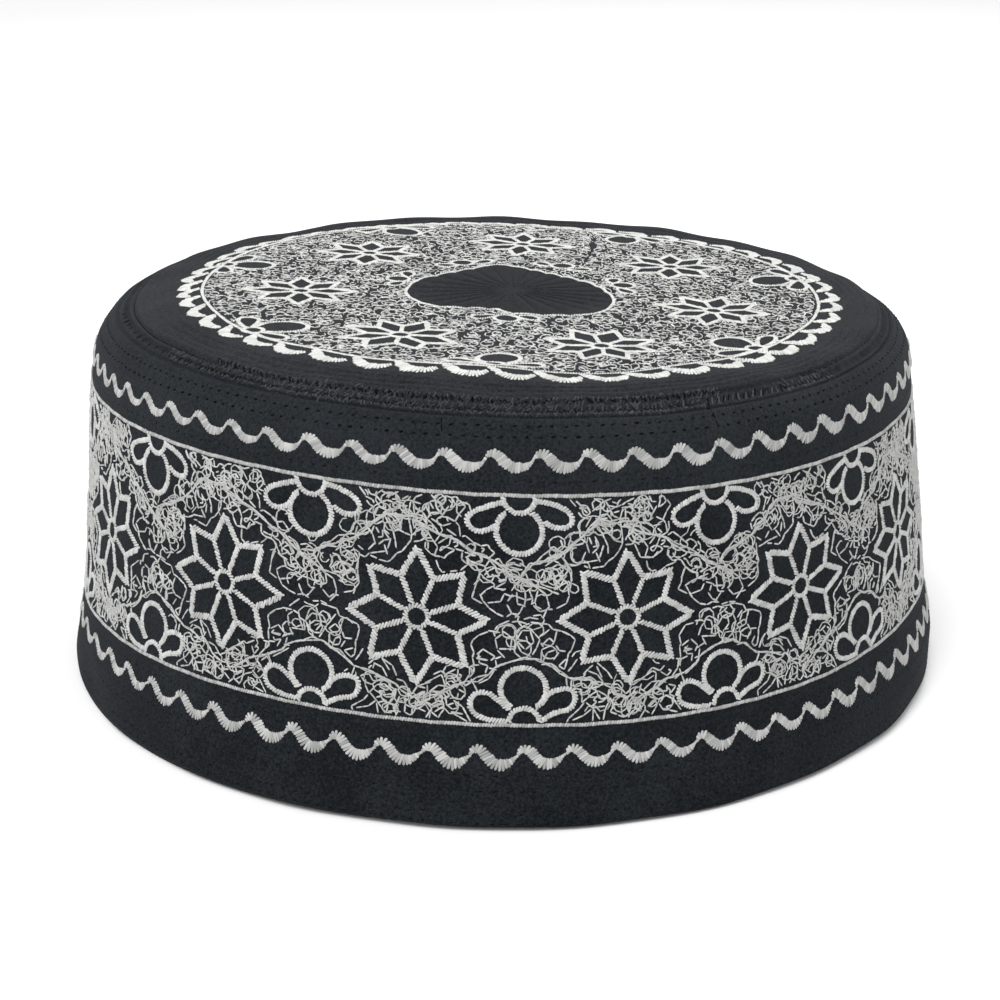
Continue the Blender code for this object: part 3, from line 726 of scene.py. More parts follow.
    ((-15.9, 28.1), (-14.6, 29.3), (-13.6, 28.6), (-12.2, 29.6)),
    ((-17.2, 26.9), (-14.5, 28.6), (-14.1, 28.1), (-14.1, 26.6)),
    ((-18.6, 26.1), (-16.5, 27.3)),
    ((-17, 26.4), (-17, 24.9)),
    ((-18.6, 23.9), (-17.5, 25.1)),
    ((-18.3, 23.2), (-16.5, 24.6), (-15.2, 24.9), (-13.9, 25.5)),
    ((-16.5, 25.1), (-15.1, 26.5), (-13.1, 26.5)),
    ((-13.9, 25.5), (-13.1, 24.8), (-14.1, 24.2), (-14.8, 24.8), (-13.9, 25.5)),
    ((-12.8, 28.5), (-11.9, 27.3), (-10.9, 28.5), (-11.6, 28.8)),
    ((-10.8, 27.2), (-9.5, 28.8), (-9.7, 30.3), (-8.9, 30.3), (-8.9, 29.3), (-9.5, 28.8)),
    ((-9.2, 28.1), (-8.2, 25.8)),
    ((-10.5, 26.4), (-9.1, 27.5)),
    ((-11.4, 26.1), (-10.2, 25.2), (-11.2, 23.9)),
    ((-11.9, 25.5), (-11.9, 24.4), (-13.1, 24.4)),
    ((-12.4, 23.9), (-10.7, 22.4), (-9.4, 20.2)),
    ((-13.8, 22.9), (-12.4, 23.5)),
    ((-10.7, 21.8), (-12.5, 21.8), (-11.4, 20.8), (-9.9, 20.1)),
    ((-17.2, 23.5), (-16.3, 22.2), (-16.3, 21.4), (-15.2, 20.5)),
    ((-17.5, 20.1), (-16.3, 21.4)),
    ((-15.2, 20.4), (-14.5, 21.2), (-14.1, 22.2), (-14.3, 23.4), (-15.3, 23.8)),
    ((-16.2, 22.1), (-14.5, 23.2)),
    ((-15.6, 21.5), (-14.1, 22.9)),
    ((-18.6, 22.1), (-17.2, 21.2)),
    ((-19.3, 22.5), (-17.9, 22.9)),
    ((-8, 32.6), (-8.2, 32), (-6.5, 31.9)),
    ((-6, 31.8), (-5.1, 32.3)),
    ((-6.1, 30.2), (-4.7, 30.2)),
    ((-8.2, 27.3), (-6.2, 28.5), (-5.1, 29.9)),
    ((3.2, 31.2), (4.8, 31.2), (5.7, 30.3), (6.4, 29.3)),
    ((9.8, 31.9), (8.8, 30.8), (8.1, 29.5)),
    ((7.9, 28.5), (7.4, 26.9)),
    ((10.5, 29.2), (11.3, 30.2), (12.5, 30.5)),
    ((12.9, 30.8), (15, 29.6), (16, 27.8)),
    ((12.9, 30.5), (14.2, 28.5)),
    ((11.5, 29.5), (13.2, 28.8), (14.2, 27.5)),
    ((10.6, 28.5), (11.2, 29.2)),
    ((9.1, 26.9), (9.8, 27.3), (10.6, 27.2), (11.2, 26.5), (12, 26.1), (13.5, 26.6), (14.2, 27.1)),
    ((12, 27.2), (13.3, 27.2)),
    ((10.1, 26.4), (10.2, 24.9), (10.6, 23.8), (12.3, 25.4), (13.3, 25.8), (14.9, 24.4), (15, 23.5), (14.3, 22.1), (14, 20.5)),
    ((10.8, 23.7), (12.2, 22.5), (13.5, 20.4)),
    ((10.8, 23.7), (9.9, 22.5), (7.6, 20.8), (7.6, 20.1)),
    ((12, 22.5), (10.6, 21.2), (8.6, 20.4)),
    ((12.2, 22.2), (12.2, 20.2)),
    ((13.5, 24.2), (13.2, 24.8), (12.6, 24.4), (12.9, 23.5), (12.3, 22.9)),
    ((13, 23.5), (14, 23.8), (14.6, 24.2)),
    ((12.2, 22.4), (14.2, 22.7)),
    ((15.7, 25.5), (15.2, 24.6)),
    ((16.4, 23.7), (15.3, 21.4), (16.7, 20.7)),
    ((17.4, 23.7), (17.3, 21), (18, 20.4), (19, 21.2), (19.6, 23.5)),
    ((18.9, 23.5), (19.1, 21.8)),
    ((15.7, 26.9), (17, 26.8), (18.2, 24.9), (19.7, 25.8), (20.6, 25.9)),
)
# The net's thicker lines, which are sewn more than once: times over, then the line.
NET_RAILS = (
    (3, ((-19.3, 56.9), (-18.3, 56.2), (-16.5, 55.6), (-14.6, 55), (-13, 54.5), (-11.4, 53.8), (-10.1, 52.8), (-8.7, 52), (-7.1, 51.4), (-5.7, 50.5), (-4.3, 49.5), (-2.9, 48.5), (-1.7, 47.7), (-0.5, 47.1), (0.7, 46.3), (2.5, 45.3))),
    (3, ((18.9, 57.8), (16.1, 57.5), (13.9, 57.8), (12.3, 56.6), (10.7, 54.8), (9.1, 53.5), (7.7, 52.3), (6.1, 51.6), (4.3, 50.8), (2.5, 50.2), (1.4, 49.6), (0.5, 48.9), (-0.2, 47.6))),
    (2, ((-4.5, 49.7), (-3, 48.5), (-1.6, 47.5))),
    (2, ((-13.4, 26), (-11.6, 26.9), (-10.2, 27.1), (-8.4, 28), (-6.1, 29.1), (-5, 30.3), (-3.6, 31.1), (-2, 31.9), (0, 32.5), (2, 32.2), (3.4, 31.6), (4.8, 31), (6.4, 29.5), (7.8, 28.6), (9.2, 28.2), (10.6, 28.2), (11.9, 27.6), (13.5, 26.9), (14.3, 26.9), (15.5, 26.2), (16.3, 25.2), (17.5, 24.4), (18.6, 23.9), (19.5, 24.2), (20.7, 24.9))),
    (2, ((-18, 23), (-16.5, 24), (-15.3, 24.6), (-13.9, 25.5), (-12.9, 26.2), (-11.6, 26.9))),
)


# Where curling threads lie thick, in the same places: the middle line of such a garland, how far
# they stray from it, and how many there are.
GARLANDS = (
    (((-19.1, 57.0), (-13.0, 54.8), (-7.0, 51.6), (-1.0, 47.6), (3.0, 45.2)), 1.1, 14),
    (((19.1, 57.6), (13.0, 56.8), (8.0, 52.6), (2.0, 49.9), (0.0, 47.6)), 1.2, 13),
    (((-19.1, 60.2), (-15.0, 58.8), (-12.0, 59.5)), 1.3, 6),
    (((19.1, 60.4), (15.0, 60.4), (11.5, 59.5)), 1.3, 6),
    (((4.5, 46.5), (6.5, 46.5), (7.0, 44.8)), 1.2, 4),
    (((-19.1, 23.0), (-15.0, 24.0), (-11.5, 27.0), (-9.5, 30.5)), 1.4, 11),
    (((19.1, 23.5), (15.0, 24.0), (11.0, 27.0), (8.5, 31.0)), 1.4, 11),
    (((-5.0, 33.5), (0.0, 36.5), (6.0, 35.0)), 1.3, 6),
)


def inside_any(points, shapes):
    """Which points lie in any of the closed outlines."""
    x, y = points[:, 0], points[:, 1]
    hit = np.zeros(len(points), bool)
    for s in shapes:
        s = np.asarray(s, float)
        odd = np.zeros(len(points), bool)
        for (x0, y0), (x1, y1) in zip(s, np.roll(s, -1, axis=0)):
            if y0 == y1:
                continue
            odd ^= ((y0 > y) != (y1 > y)) & (x < (x1 - x0) * (y - y0) / (y1 - y0) + x0)
        hit |= odd
    return hit


def scribble(rng, start, legs, size, heading=None, curl=None):
    """A meandering thread: legs stitches of about size mm, which turn mostly one way and then the other."""
    p = [np.array(start, float)]
    turn = rng.uniform(0, 360) if heading is None else heading
    bend = rng.uniform(38, 62) * rng.choice((-1, 1)) if curl is None else curl
    for _ in range(legs):
        turn += bend + rng.normal(0, 9)
        if rng.random() < 0.09:
            bend = -bend
        step = size * rng.uniform(0.75, 1.25)
        p.append(p[-1] + step * np.array([math.cos(math.radians(turn)), math.sin(math.radians(turn))]))
    return np.array(p)


def legs_of(paths):
    """The starts and ends of every leg of some paths."""
    return np.concatenate([p[:-1] for p in paths]), np.concatenate([p[1:] for p in paths])


def keep_out(a, b, shapes):
    """The legs whose ends and middles stay clear of the outlines."""
    bad = inside_any(a, shapes) | inside_any(b, shapes) | inside_any((a + b) / 2, shapes)
    return a[~bad], b[~bad]


def holes(a, b, points, clear):
    """Which of the points are farther than clear from every leg of a net, by a raster of 0.35 mm."""
    size, middle = 0.35, 210
    marks = np.zeros((2 * middle, 2 * middle), bool)
    for t in np.linspace(0, 1, 5):
        i = np.floor((a + (b - a) * t) / size).astype(int) + middle
        marks[i[:, 0], i[:, 1]] = True
    reach = int(round(clear / size))
    near = marks.copy()
    for dx in range(-reach, reach + 1):
        for dy in range(-reach, reach + 1):
            if dx * dx + dy * dy <= reach * reach:
                near |= np.roll(marks, (dx, dy), (0, 1))
    i = np.floor(points / size).astype(int) + middle
    return ~near[i[:, 0], i[:, 1]]


def trefoil_shapes(trefoil):
    return [np.asarray(path) for path, _ in trefoil]


# ---------------------------------------------------------------- the wall's embroidery


def wall_embroidery(white, plain, fine):
    stars, petals, borders, net = Threads(11), Threads(12), Threads(13), Threads(14)
    rng = np.random.default_rng(7)
    outlines = []
    for k in range(STARS):
        at = np.array([STAR_PITCH * k, 39.4]) + rng.normal(0, 0.12, 2)
        paths, outline = star_paths(rng)
        spin = rng.normal(0, 1.0)
        outlines.append(turned(outline, spin, 1.0, at))
        for path, width, slant in paths:
            stars.satin(WALL, turned(path, spin, 1.0, at), width, 0.62, slant, 0.43, 0.38)
    for k in range(STARS):
        mid = np.array([STAR_PITCH * (k + 0.5), 0.0])
        for trefoil in (TOP_TREFOIL, BOTTOM_TREFOIL):
            for path, width in trefoil:
                petals.satin(WALL, path + mid + rng.normal(0, 0.10, 2), width * 0.93, 0.54, 62.0, 0.46)
    for place in (62.55, 19.55):
        n = int(STARS * STAR_PITCH / 0.6)
        x = np.linspace(0, STARS * STAR_PITCH, n)
        borders.satin(WALL, np.stack([x, np.full(n, place) + 0.05 * np.sin(x * 0.7)], -1), 0.70, 0.50, 62.0, 0.46, 0.28, 0.08)
    for chart, unit, count, pitch in ((UPPER_WAVE, UPPER_UNIT, 66, 8.41), (LOWER_WAVE, LOWER_UNIT, 68, 8.18)):
        for k in range(count):
            shape = curve(unit, 0.2)
            shape[:, :2] += (pitch * k, 0.0) + rng.normal(0, 0.08, 2)
            borders.satin(chart, shape[:, :2], shape[:, 2] * 1.02 * rng.normal(1.0, 0.05), 0.48, 82.0, 0.54, 0.27, 0.06)
    # the net
    shapes = trefoil_shapes(TOP_TREFOIL) + trefoil_shapes(BOTTOM_TREFOIL)
    for k in range(STARS):
        mid = np.array([STAR_PITCH * (k + 0.5), 0.0])
        for path in NET:
            net.running(WALL, np.array(path) + mid, 2.3, 0.31, shake=0.16)
        for times, path in NET_RAILS:
            for _ in range(times):
                net.running(WALL, np.array(path) + mid, 2.3, 0.31, shake=0.22)
    paths, keep = [], list(shapes)
    for side in (-1, 1):
        keep.append(turned(star_outline(), 0.0, 1.02, (side * STAR_PITCH / 2, 39.4)))
    for spine, across, count in GARLANDS:
        spine = curve(spine, 0.5)
        for _ in range(int(count * 1.25)):
            at = spine[rng.integers(len(spine))] + rng.normal(0, across, 2)
            paths.append((at, rng.integers(5, 11), rng.uniform(0.8, 1.35)))
    for k in range(STARS):
        mid = np.array([STAR_PITCH * (k + 0.5), 0.0])
        curls = [scribble(rng, at + rng.normal(0, 0.5, 2), int(legs), size) for at, legs, size in paths]
        a, b = legs_of(curls)
        ok = (a[:, 1] < 62.2) & (b[:, 1] < 62.2) & (a[:, 1] > 19.9) & (b[:, 1] > 19.9)
        a, b = keep_out(a[ok], b[ok], keep)
        n = len(a)
        net.add(WALL, a + mid, b + mid, 0.29 * (1 + rng.normal(0, 0.08, n)), 0.20 * (1 + rng.normal(0, 0.25, n)), SHORT_RINGS)
    return (
        stars.mesh("wall_stars", [white]),
        petals.mesh("wall_petals", [white]),
        borders.mesh("wall_borders", [plain]),
        net.mesh("wall_net", [fine]),
    )


# ---------------------------------------------------------------- the crown's embroidery

# where each star is: its angle, its distance from the middle and how far it is turned from pointing
# a tip at the middle
CROWN_STAR_PLACES = (
    (-28.2, 46.0, 4.5), (21.9, 45.8, 6.5), (72.9, 44.0, 2.0), (124.9, 44.0, 5.0), (176.4, 43.4, -3.4), (-132.6, 43.8, -5.0), (-79.6, 45.4, -6.0),
)
# and each trefoil on the outer line: its angle, the distance of its foot, and its lean
CROWN_TREFOIL_PLACES = ((-48.8, 64.6, -6.0), (-2.2, 62.4, -2.0), (49.5, 64.8, 4.0), (101.5, 65.4, 0.0), (151.6, 65.4, 0.0), (-155.8, 65.4, 0.0), (-104.8, 65.4, 0.0))
DISC = (
    (-2, -21.7), (-7.5, -17.8), (-17.8, -8.3), (-20.9, -2.8), (-22.1, 5), (-20.9, 10.5), (-17.8, 15.3), (-13.8, 17.6), (-3.6, 18.4),
    (-1.3, 20.4), (3.5, 21.8), (11.3, 21.6), (16.8, 19.6), (20, 15.7), (21.8, 9), (21.2, 2.7), (17.6, -6), (7.4, -15.4),
)  # the plain middle's outline: x to the right, y to the front


def seen(angle, far):
    """A crown chart place from an angle (0 the front, 90 the right) and a distance from the middle."""
    t = np.radians(angle)
    return np.array([far * np.sin(t), -far * np.cos(t)])


def crown_embroidery(white, fine):
    motifs, border, net = Threads(21), Threads(22), Threads(23)
    rng = np.random.default_rng(9)
    keep = [np.array([(x, -y) for x, y in DISC], float)]
    for angle, far, turn in CROWN_STAR_PLACES:
        at = seen(angle, far)
        paths, outline = star_paths(rng, 0.95, 0.88, 0.90)
        spin = angle + 90.0 + turn
        keep.append(turned(outline, spin, 1.0, at))
        for path, width, slant in paths:
            motifs.satin(CROWN, turned(path, spin, 1.0, at), width, 0.54, slant, 0.44, 0.26)
    # trefoils on the outer line and small ones on the plain middle, both between two stars
    for angle, far, lean in CROWN_TREFOIL_PLACES:
        for path, width in CROWN_TREFOIL:
            p = turned(path, angle + lean, 1.0, seen(angle, far))
            motifs.satin(CROWN, p, width, 0.54, 62.0, 0.42, 0.20)
            keep.append(p)
        for path, width in SMALL_TREFOIL if abs(abs(angle) - 49.0) > 3.0 else ():
            p = turned(path, angle, 1.0, (0, 0))
            motifs.satin(CROWN, p, width, 0.54, 62.0, 0.40, 0.18)
            keep.append(p)
    x = np.linspace(0, 50 * 8.8, 1400)
    border.satin(CROWN_WAVE, np.stack([x, np.full_like(x, END - 65.8)], -1), 0.7, 0.55, 66.0, 0.42, 0.24, 0.14)
    for k in range(50):
        shape = curve(CROWN_UNIT, 0.2)
        shape[:, 0] += 8.8 * k + rng.normal(0, 0.15)
        shape[:, 1] = END - shape[:, 1] + rng.normal(0, 0.12)
        border.satin(CROWN_WAVE, shape[:, :2], shape[:, 2] * 0.90 * rng.normal(1.0, 0.07), 0.53, 84.0, 0.50, 0.30, 0.13)
    # the disc's edge is held by a line of stitches
    rim = curve(keep[0], 0.4, closed=True)
    motifs.satin(CROWN, rim, 0.7, 0.55, 66.0, 0.42, 0.22)
    # the net parts along the crease
    line_at = np.array(CREASES[0][3])
    keep.append(np.concatenate([line_at - (0.18, 0.0), line_at[::-1] + (0.18, 0.0)]))
    # the net: meandering threads between the plain middle, the motifs and the outer line
    paths = []
    cell = 2.60
    for i in range(-27, 28):
        for j in range(-31, 32):
            start = np.array([(i + 0.5 * (j % 2)) * cell, j * cell * 0.87]) + rng.normal(0, 0.40, 2)
            if 18.0 < np.hypot(*start) < 66.5:
                # drawn out from front to back, as the cloth was pulled over the stitching
                curls = scribble(rng, start, int(rng.integers(5, 11)), rng.uniform(0.75, 1.25))
                paths.append(start + (curls - start) * (0.85, 1.30))
    a, b = legs_of(paths)
    ok = (np.hypot(*a.T) < 65.4) & (np.hypot(*b.T) < 65.4)
    a, b = keep_out(a[ok], b[ok], keep)
    for _ in range(3):  # small curls where holes are left
        grid = np.stack(np.meshgrid(np.arange(-65.0, 65.1, 1.5), np.arange(-65.0, 65.1, 1.5)), -1).reshape(-1, 2)
        spots = grid + rng.uniform(-0.6, 0.6, grid.shape)
        far = np.hypot(*spots.T)
        spots = spots[(far > 17.0) & (far < 65.0)]
        spots = spots[holes(a, b, spots, 0.70)]
        curls = [scribble(rng, spot, 4, 0.85) for spot in spots]
        c, d = legs_of([curl - curl.mean(axis=0) + spot for curl, spot in zip(curls, spots)])
        ok = (np.hypot(*c.T) < 65.4) & (np.hypot(*d.T) < 65.4)
        c, d = keep_out(c[ok], d[ok], keep)
        a, b = np.concatenate([a, c]), np.concatenate([b, d])
    n = len(a)
    net.add(CROWN, a, b, 0.25 * (1 + rng.normal(0, 0.10, n)), rng.uniform(0.06, 0.17, n), RUNNING_RINGS)
    return motifs.mesh("crown_motifs", [white]), border.mesh("crown_border", [white]), net.mesh("crown_net", [fine])


# ---------------------------------------------------------------- black threads: seam and stitch rows, and painted shade in the seam's groove and along the tucks


def black_threads_and_painted_shade(shiny, dull_and_shade, plain):
    t = Threads(31)
    rng = np.random.default_rng(5)
    once = 536.0

    def across(x, low, high, lean, rough, width, height, kind=0):
        """Stitches over the seam at x, from low to high, leaning by lean mm."""
        n = len(x)
        a = np.stack([x, low + rng.normal(0, rough, n)], -1)
        b = np.stack([x + lean + rng.normal(0, rough, n), high + rng.normal(0, rough, n)], -1)
        t.add(ROUND, a, b, width * (1 + rng.normal(0, 0.12, n)), height * (1 + rng.normal(0, 0.2, n)), SATIN_RINGS, kind)

    def at(n, jitter):
        x = (np.arange(n) + rng.uniform(-jitter, jitter, n)) * once / n
        return x, np.degrees(x / once * 2 * np.pi)

    # flat stitches that close the seam all the way round
    x, angle = at(960, 0.15)
    across(x, SEAM - 0.75, SEAM + 0.75, 0.25, 0.05, 0.95, 0.05, 2)
    # over them, side by side and slanted like a rope right of the front, and short mixed ones elsewhere
    x, angle = at(620, 0.30)
    x = x[(angle > 27) & (angle < 41)]
    across(x[::2], 78.2, 79.8, 1.1, 0.22, 0.40, 0.17)
    across(x[1::2], 78.1, 79.9, 1.0, 0.24, 0.42, 0.16, 1)
    x, angle = at(700, 0.5)
    rest = (angle < 27) | ((angle > 41) & (angle < 52)) | (angle > 308) | ((angle > 125) & (angle < 235))
    for low, high, lean, kind in ((77.7, 78.6, 0.5, 0), (78.4, 79.2, -0.5, 1), (79.0, 79.9, 0.5, 0), (79.7, 80.4, -0.5, 0)):
        across(x[rest] + rng.uniform(0, 0.7), low, high, lean, 0.28, 0.36, 0.15, kind)
    front = (angle > 318) | (angle < 30)
    for low, high, lean, kind in ((77.8, 78.6, -0.5, 0), (80.1, 80.9, 0.5, 0), (80.7, 81.4, -0.5, 1), (81.2, 81.9, 0.4, 0)):
        across(x[front] + rng.uniform(0, 0.7), low, high, lean, 0.28, 0.32, 0.16, kind)
    x, angle = at(150, 0.1)
    left = (angle > 283) & (angle < 325)
    across(x[left], 77.9, 79.1, 0.0, 0.12, 0.7, 0.12, 1)
    # painted shade: a dark line in the groove where the crown's edge turns down into the seam, broken into dashes and
    # widest at the left, where the groove is deepest
    x, angle = at(255, 0.05)
    line_at = (angle > 46) & (angle < 322)
    a = np.stack([x, np.full_like(x, 80.6)], -1)[line_at]
    wide = (angle > 235)[line_at]
    b = a + np.stack([np.where(wide, 1.85, rng.uniform(0.7, 1.8, len(a))), np.zeros(len(a))], -1)
    t.add(ROUND, a, b, np.where(wide, 1.15, 0.34), 0.03, SUNK_RINGS, 1)
    # rows of black stitches right round: clear under the seam and faint elsewhere
    for place in STITCH_ROWS:
        clear = place > 70.0
        n = int(once / 2.25)
        x = (np.arange(n) + rng.uniform(-0.10, 0.10, n)) * once / n
        a = np.stack([x, place + rng.normal(0, 0.07, n)], -1)
        b = np.stack([x + (0.80 if clear else 0.70) * rng.uniform(0.7, 1.2, n), place + 0.18 + rng.normal(0, 0.08, n)], -1)
        t.add(ROUND, a, b, (0.52 if clear else 0.36) * rng.uniform(0.7, 1.15, n), 0.10 if clear else 0.05, SUNK_RINGS, 1)
    # tucks in the cloth just under the seam: the shade of each fold is painted as a dark strip along it
    for legs, width in TUCK_SHADES:
        legs = np.array(legs, float)
        t.add(CROWN, legs[:-1], legs[1:], width, 0.07, SUNK_RINGS, 1)
    return t.mesh("seam_threads_and_painted_shade", [shiny, dull_and_shade, plain])


# ---------------------------------------------------------------- materials


class Nodes:
    """Small help to build a material's nodes."""

    def __init__(self, name):
        self.material = bpy.data.materials.new(name)
        self.material.use_nodes = True
        self.tree = self.material.node_tree
        self.shader = self.tree.nodes["Principled BSDF"]

    def node(self, kind, **values):
        n = self.tree.nodes.new(kind)
        for key, value in values.items():
            if hasattr(n, key):
                setattr(n, key, value)
            else:
                n.inputs[key.replace("_", " ")].default_value = value
        return n

    def link(self, source, target):
        self.tree.links.new(source, target)

    def math(self, operation, a, b=None):
        n = self.tree.nodes.new("ShaderNodeMath")
        n.operation = operation
        for k, v in enumerate((a, b)):
            if v is None:
                continue
            if isinstance(v, (int, float)):
                n.inputs[k].default_value = v
            else:
                self.link(v, n.inputs[k])
        return n.outputs[0]

    def noise(self, scale, detail=3.0, rough=0.6):
        n = self.tree.nodes.new("ShaderNodeTexNoise")
        n.inputs["Scale"].default_value = scale
        n.inputs["Detail"].default_value = detail
        n.inputs["Roughness"].default_value = rough
        c = self.tree.nodes.new("ShaderNodeTexCoord")
        self.link(c.outputs["Object"], n.inputs["Vector"])
        return n.outputs["Fac"]

    def spread(self, value, low, high, out_low, out_high):
        n = self.tree.nodes.new("ShaderNodeMapRange")
        for key, v in zip(("From Min", "From Max", "To Min", "To Max"), (low, high, out_low, out_high)):
            n.inputs[key].default_value = v
        self.link(value, n.inputs["Value"])
        return n.outputs["Result"]

    def mix(self, factor, a, b):
        n = self.tree.nodes.new("ShaderNodeMix")
        n.data_type = "RGBA"
        self.link(factor, n.inputs["Factor"])
        n.inputs[6].default_value = (*a, 1.0)
        n.inputs[7].default_value = (*b, 1.0)
        return n.outputs[2]

    def bump(self, height, distance, strength, normal=None):
        n = self.tree.nodes.new("ShaderNodeBump")
        n.inputs["Distance"].default_value = distance
        n.inputs["Strength"].default_value = strength
        self.link(height, n.inputs["Height"])
        if normal is not None:
            self.link(normal, n.inputs["Normal"])
        return n.outputs["Normal"]


def cloth_material(name, dark, light, sheen, weave=0.32, middle=None, lift=None):
    m = Nodes(name)
    uv = m.tree.nodes.new("ShaderNodeUVMap")
    uv.uv_map = "cloth_grid"
    split = m.tree.nodes.new("ShaderNodeSeparateXYZ")
    m.link(uv.outputs["UV"], split.inputs[0])
    wobble = m.spread(m.noise(260.0, 2.0), 0.3, 0.7, -0.05, 0.05)
    k = 2 * math.pi / (2 * weave)
    u = m.math("SINE", m.math("MULTIPLY", m.math("ADD", split.outputs[0], wobble), k))
    v = m.math("SINE", m.math("MULTIPLY", m.math("ADD", split.outputs[1], wobble), k))
    over = m.math("MULTIPLY", u, v)
    patch = m.noise(55.0, 4.0)
    fibre = m.noise(1900.0, 3.0)
    tone = m.math("ADD", m.math("MULTIPLY", patch, 0.35), m.math("MULTIPLY", fibre, 0.65))
    if middle is not None:  # painted shade: darker within this distance of the grid's middle, where the crown's cloth is drawn into fine creases
        far = m.math("SQRT", m.math("ADD", m.math("POWER", split.outputs[0], 2.0), m.math("POWER", split.outputs[1], 2.0)))
        tone = m.math("ADD", tone, m.spread(far, middle, middle + 5.0, -0.07, 0.0))
    if lift is not None:  # painted shade below the first height on the wall and painted light above the second
        tone = m.math("ADD", tone, m.spread(split.outputs[1], lift[0], lift[1], -0.036, 0.030))
    m.link(m.mix(m.spread(tone, 0.37, 0.63, 0.0, 1.0), dark, light), m.shader.inputs["Base Color"])
    m.link(m.spread(patch, 0.3, 0.7, 0.72, 0.90), m.shader.inputs["Roughness"])
    m.shader.inputs["Specular IOR Level"].default_value = 0.06
    m.shader.inputs["Sheen Weight"].default_value = sheen
    m.shader.inputs["Sheen Roughness"].default_value = 0.55
    m.shader.inputs["Sheen Tint"].default_value = (0.75, 0.80, 0.90, 1.0)
    n = m.bump(over, 0.00010, 0.55)
    n = m.bump(fibre, 0.00016, 0.60, n)
    n = m.bump(patch, 0.0006, 0.25, n)
    m.link(n, m.shader.inputs["Normal"])
    return m.material


def thread_material(name, dark, light, rough, specular, sheen):
    m = Nodes(name)
    g = m.tree.nodes.new("ShaderNodeNewGeometry")
    uv = m.tree.nodes.new("ShaderNodeUVMap")
    uv.uv_map = "thread_grid"
    split = m.tree.nodes.new("ShaderNodeSeparateXYZ")
    m.link(uv.outputs["UV"], split.inputs[0])
    twist = m.math("SINE", m.math("MULTIPLY", m.math("ADD", split.outputs[0], split.outputs[1]), 2 * math.pi / 0.22))
    fibre = m.noise(3200.0, 2.0)
    patch = m.noise(90.0, 3.0)
    tone = m.math("ADD", m.math("MULTIPLY", g.outputs["Random Per Island"], 0.55), m.math("MULTIPLY", patch, 0.45))
    m.link(m.mix(m.spread(tone, 0.18, 0.82, 0.0, 1.0), dark, light), m.shader.inputs["Base Color"])
    m.link(m.spread(fibre, 0.3, 0.7, rough - 0.08, rough + 0.08), m.shader.inputs["Roughness"])
    m.shader.inputs["Specular IOR Level"].default_value = specular
    m.shader.inputs["Sheen Weight"].default_value = sheen
    m.shader.inputs["Sheen Roughness"].default_value = 0.4
    n = m.bump(twist, 0.00005, 0.5)
    n = m.bump(fibre, 0.00004, 0.4, n)
    m.link(n, m.shader.inputs["Normal"])
    return m.material


# The band's cloth is painted darker low on the wall and paler near its top: painted shade and painted light.
BAND_CLOTH_PAINTED_LIGHT_AND_SHADE = cloth_material("black_band_cloth_painted_light_and_shade_look", (0.0040, 0.0052, 0.0067), (0.0198, 0.0234, 0.0270), 0.02, lift=(52.0, 70.0))
# The crown's cloth is a paler copy of the band's black cloth: painted sheen of the cloth that faces up to the lamps.
# Its middle gets painted shade.
CROWN_CLOTH_PAINTED_SHEEN_AND_SHADE = cloth_material("black_crown_cloth_painted_sheen_and_shade_look", (0.0070, 0.0079, 0.0094), (0.0288, 0.0305, 0.0343), 0.02, middle=20.0)
INSIDE_CLOTH = cloth_material("black_inside_look", (0.0070, 0.0076, 0.0090), (0.0150, 0.0160, 0.0180), 0.03)
WHITE_THREAD = thread_material("white_thread_look", (0.46, 0.46, 0.45), (0.68, 0.68, 0.67), 0.50, 0.25, 0.04)
BORDER_THREAD = thread_material("border_thread_look", (0.30, 0.30, 0.295), (0.56, 0.56, 0.55), 0.52, 0.22, 0.04)
NET_THREAD = thread_material("fine_white_thread_look", (0.40, 0.40, 0.39), (0.62, 0.62, 0.61), 0.52, 0.20, 0.04)
# The crown's threads are copies of the wall's white threads with a paler top end: painted light of the crown, which
# faces up to the lamps.
CROWN_THREAD_PAINTED_LIT = thread_material("white_thread_painted_lit_look", (0.52, 0.52, 0.50), (0.74, 0.74, 0.72), 0.50, 0.25, 0.04)
CROWN_NET_THREAD_PAINTED_LIT = thread_material("fine_white_thread_painted_lit_look", (0.27, 0.27, 0.26), (0.80, 0.80, 0.78), 0.52, 0.20, 0.04)
# The black thread's paler stitches partly stand in for glints on the glittery seam: painted highlights.
BLACK_THREAD = thread_material("black_thread_look", (0.006, 0.007, 0.009), (0.046, 0.050, 0.055), 0.50, 0.22, 0.0)
SEAM_THREAD = thread_material("seam_thread_look", (0.007, 0.008, 0.010), (0.020, 0.022, 0.025), 0.75, 0.06, 0.0)
# Dull black thread, also used for the strips of painted shade in the seam's groove and along the tucks.
DULL_THREAD_AND_SHADE = thread_material("dull_black_thread_and_painted_shade_look", (0.0018, 0.0018, 0.0024), (0.0072, 0.0072, 0.0084), 0.85, 0.03, 0.0)

# ---------------------------------------------------------------- put together

band = make_side_band(BAND_CLOTH_PAINTED_LIGHT_AND_SHADE, INSIDE_CLOTH)
crown = make_crown(CROWN_CLOTH_PAINTED_SHEEN_AND_SHADE, INSIDE_CLOTH)
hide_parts("side_band")
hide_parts("crown")
wall_pieces = wall_embroidery(WHITE_THREAD, BORDER_THREAD, NET_THREAD)
crown_pieces = crown_embroidery(CROWN_THREAD_PAINTED_LIT, CROWN_NET_THREAD_PAINTED_LIT)
seam = black_threads_and_painted_shade(BLACK_THREAD, DULL_THREAD_AND_SHADE, SEAM_THREAD)
for piece in (band, *wall_pieces, seam):
    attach(piece, "root")
for piece in (crown, *crown_pieces):
    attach(piece, "root")

# ---------------------------------------------------------------- floor, light, camera


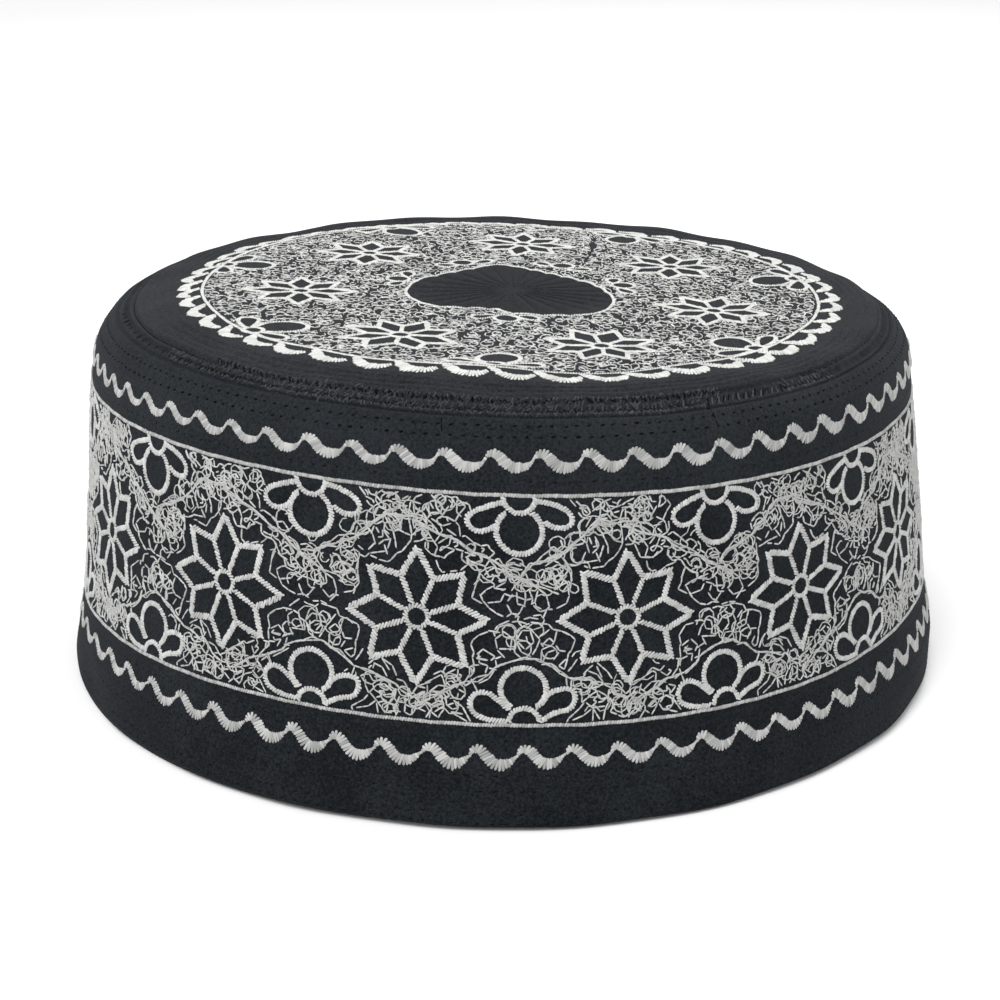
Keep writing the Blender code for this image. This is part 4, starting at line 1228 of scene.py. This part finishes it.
def floor():
    m = Nodes("pale_floor_look")
    patch = m.noise(6.0, 2.0)
    m.link(m.mix(patch, (0.90, 0.90, 0.90), (0.93, 0.93, 0.93)), m.shader.inputs["Base Color"])
    m.shader.inputs["Roughness"].default_value = 0.9
    m.shader.inputs["Specular IOR Level"].default_value = 0.1
    mesh = bpy.data.meshes.new("pale_floor")
    mesh.from_pydata([(-8, -8, 0), (8, -8, 0), (8, 8, 0), (-8, 8, 0)], [], [(0, 1, 2, 3)])
    mesh.materials.append(m.material)
    o = bpy.data.objects.new("pale_floor", mesh)
    o.location.z = -0.0001
    bpy.context.scene.collection.objects.link(o)
    return o


def lamp(name, place, aim, size, power):
    data = bpy.data.lights.new(name, "AREA")
    data.shape = "DISK"
    data.size, data.energy = size, power
    o = bpy.data.objects.new(name, data)
    o.location = place
    o.rotation_euler = (Vector(aim) - Vector(place)).to_track_quat("-Z", "Y").to_euler()
    bpy.context.scene.collection.objects.link(o)
    return o


def camera():
    data = bpy.data.cameras.new("photo_camera")
    data.lens, data.sensor_width = 72.018, 36.0
    data.clip_start, data.clip_end = 0.01, 50.0
    o = bpy.data.objects.new("photo_camera", data)
    place, aim = Vector((-0.0006, -0.41802, 0.17675)), Vector((-0.0006, 0.00104, 0.02983))
    o.location = place
    o.rotation_euler = (aim - place).to_track_quat("-Z", "Y").to_euler()
    bpy.context.scene.collection.objects.link(o)
    bpy.context.scene.camera = o


floor()
lamp("key_light", (-0.35, -0.55, 1.10), (0.0, 0.0, 0.03), 0.7, 9.0)
lamp("back_light", (0.45, 0.75, 0.95), (0.0, 0.0, 0.06), 0.6, 5.0)
world = bpy.context.scene.world or bpy.data.worlds.new("studio_white")
bpy.context.scene.world = world
world.use_nodes = True
world.node_tree.nodes["Background"].inputs["Color"].default_value = (1.0, 1.0, 1.0, 1.0)
world.node_tree.nodes["Background"].inputs["Strength"].default_value = 0.92
bpy.context.scene.view_settings.view_transform = "Standard"
bpy.context.scene.view_settings.look = "None"
bpy.context.scene.view_settings.exposure = 0.0
camera()
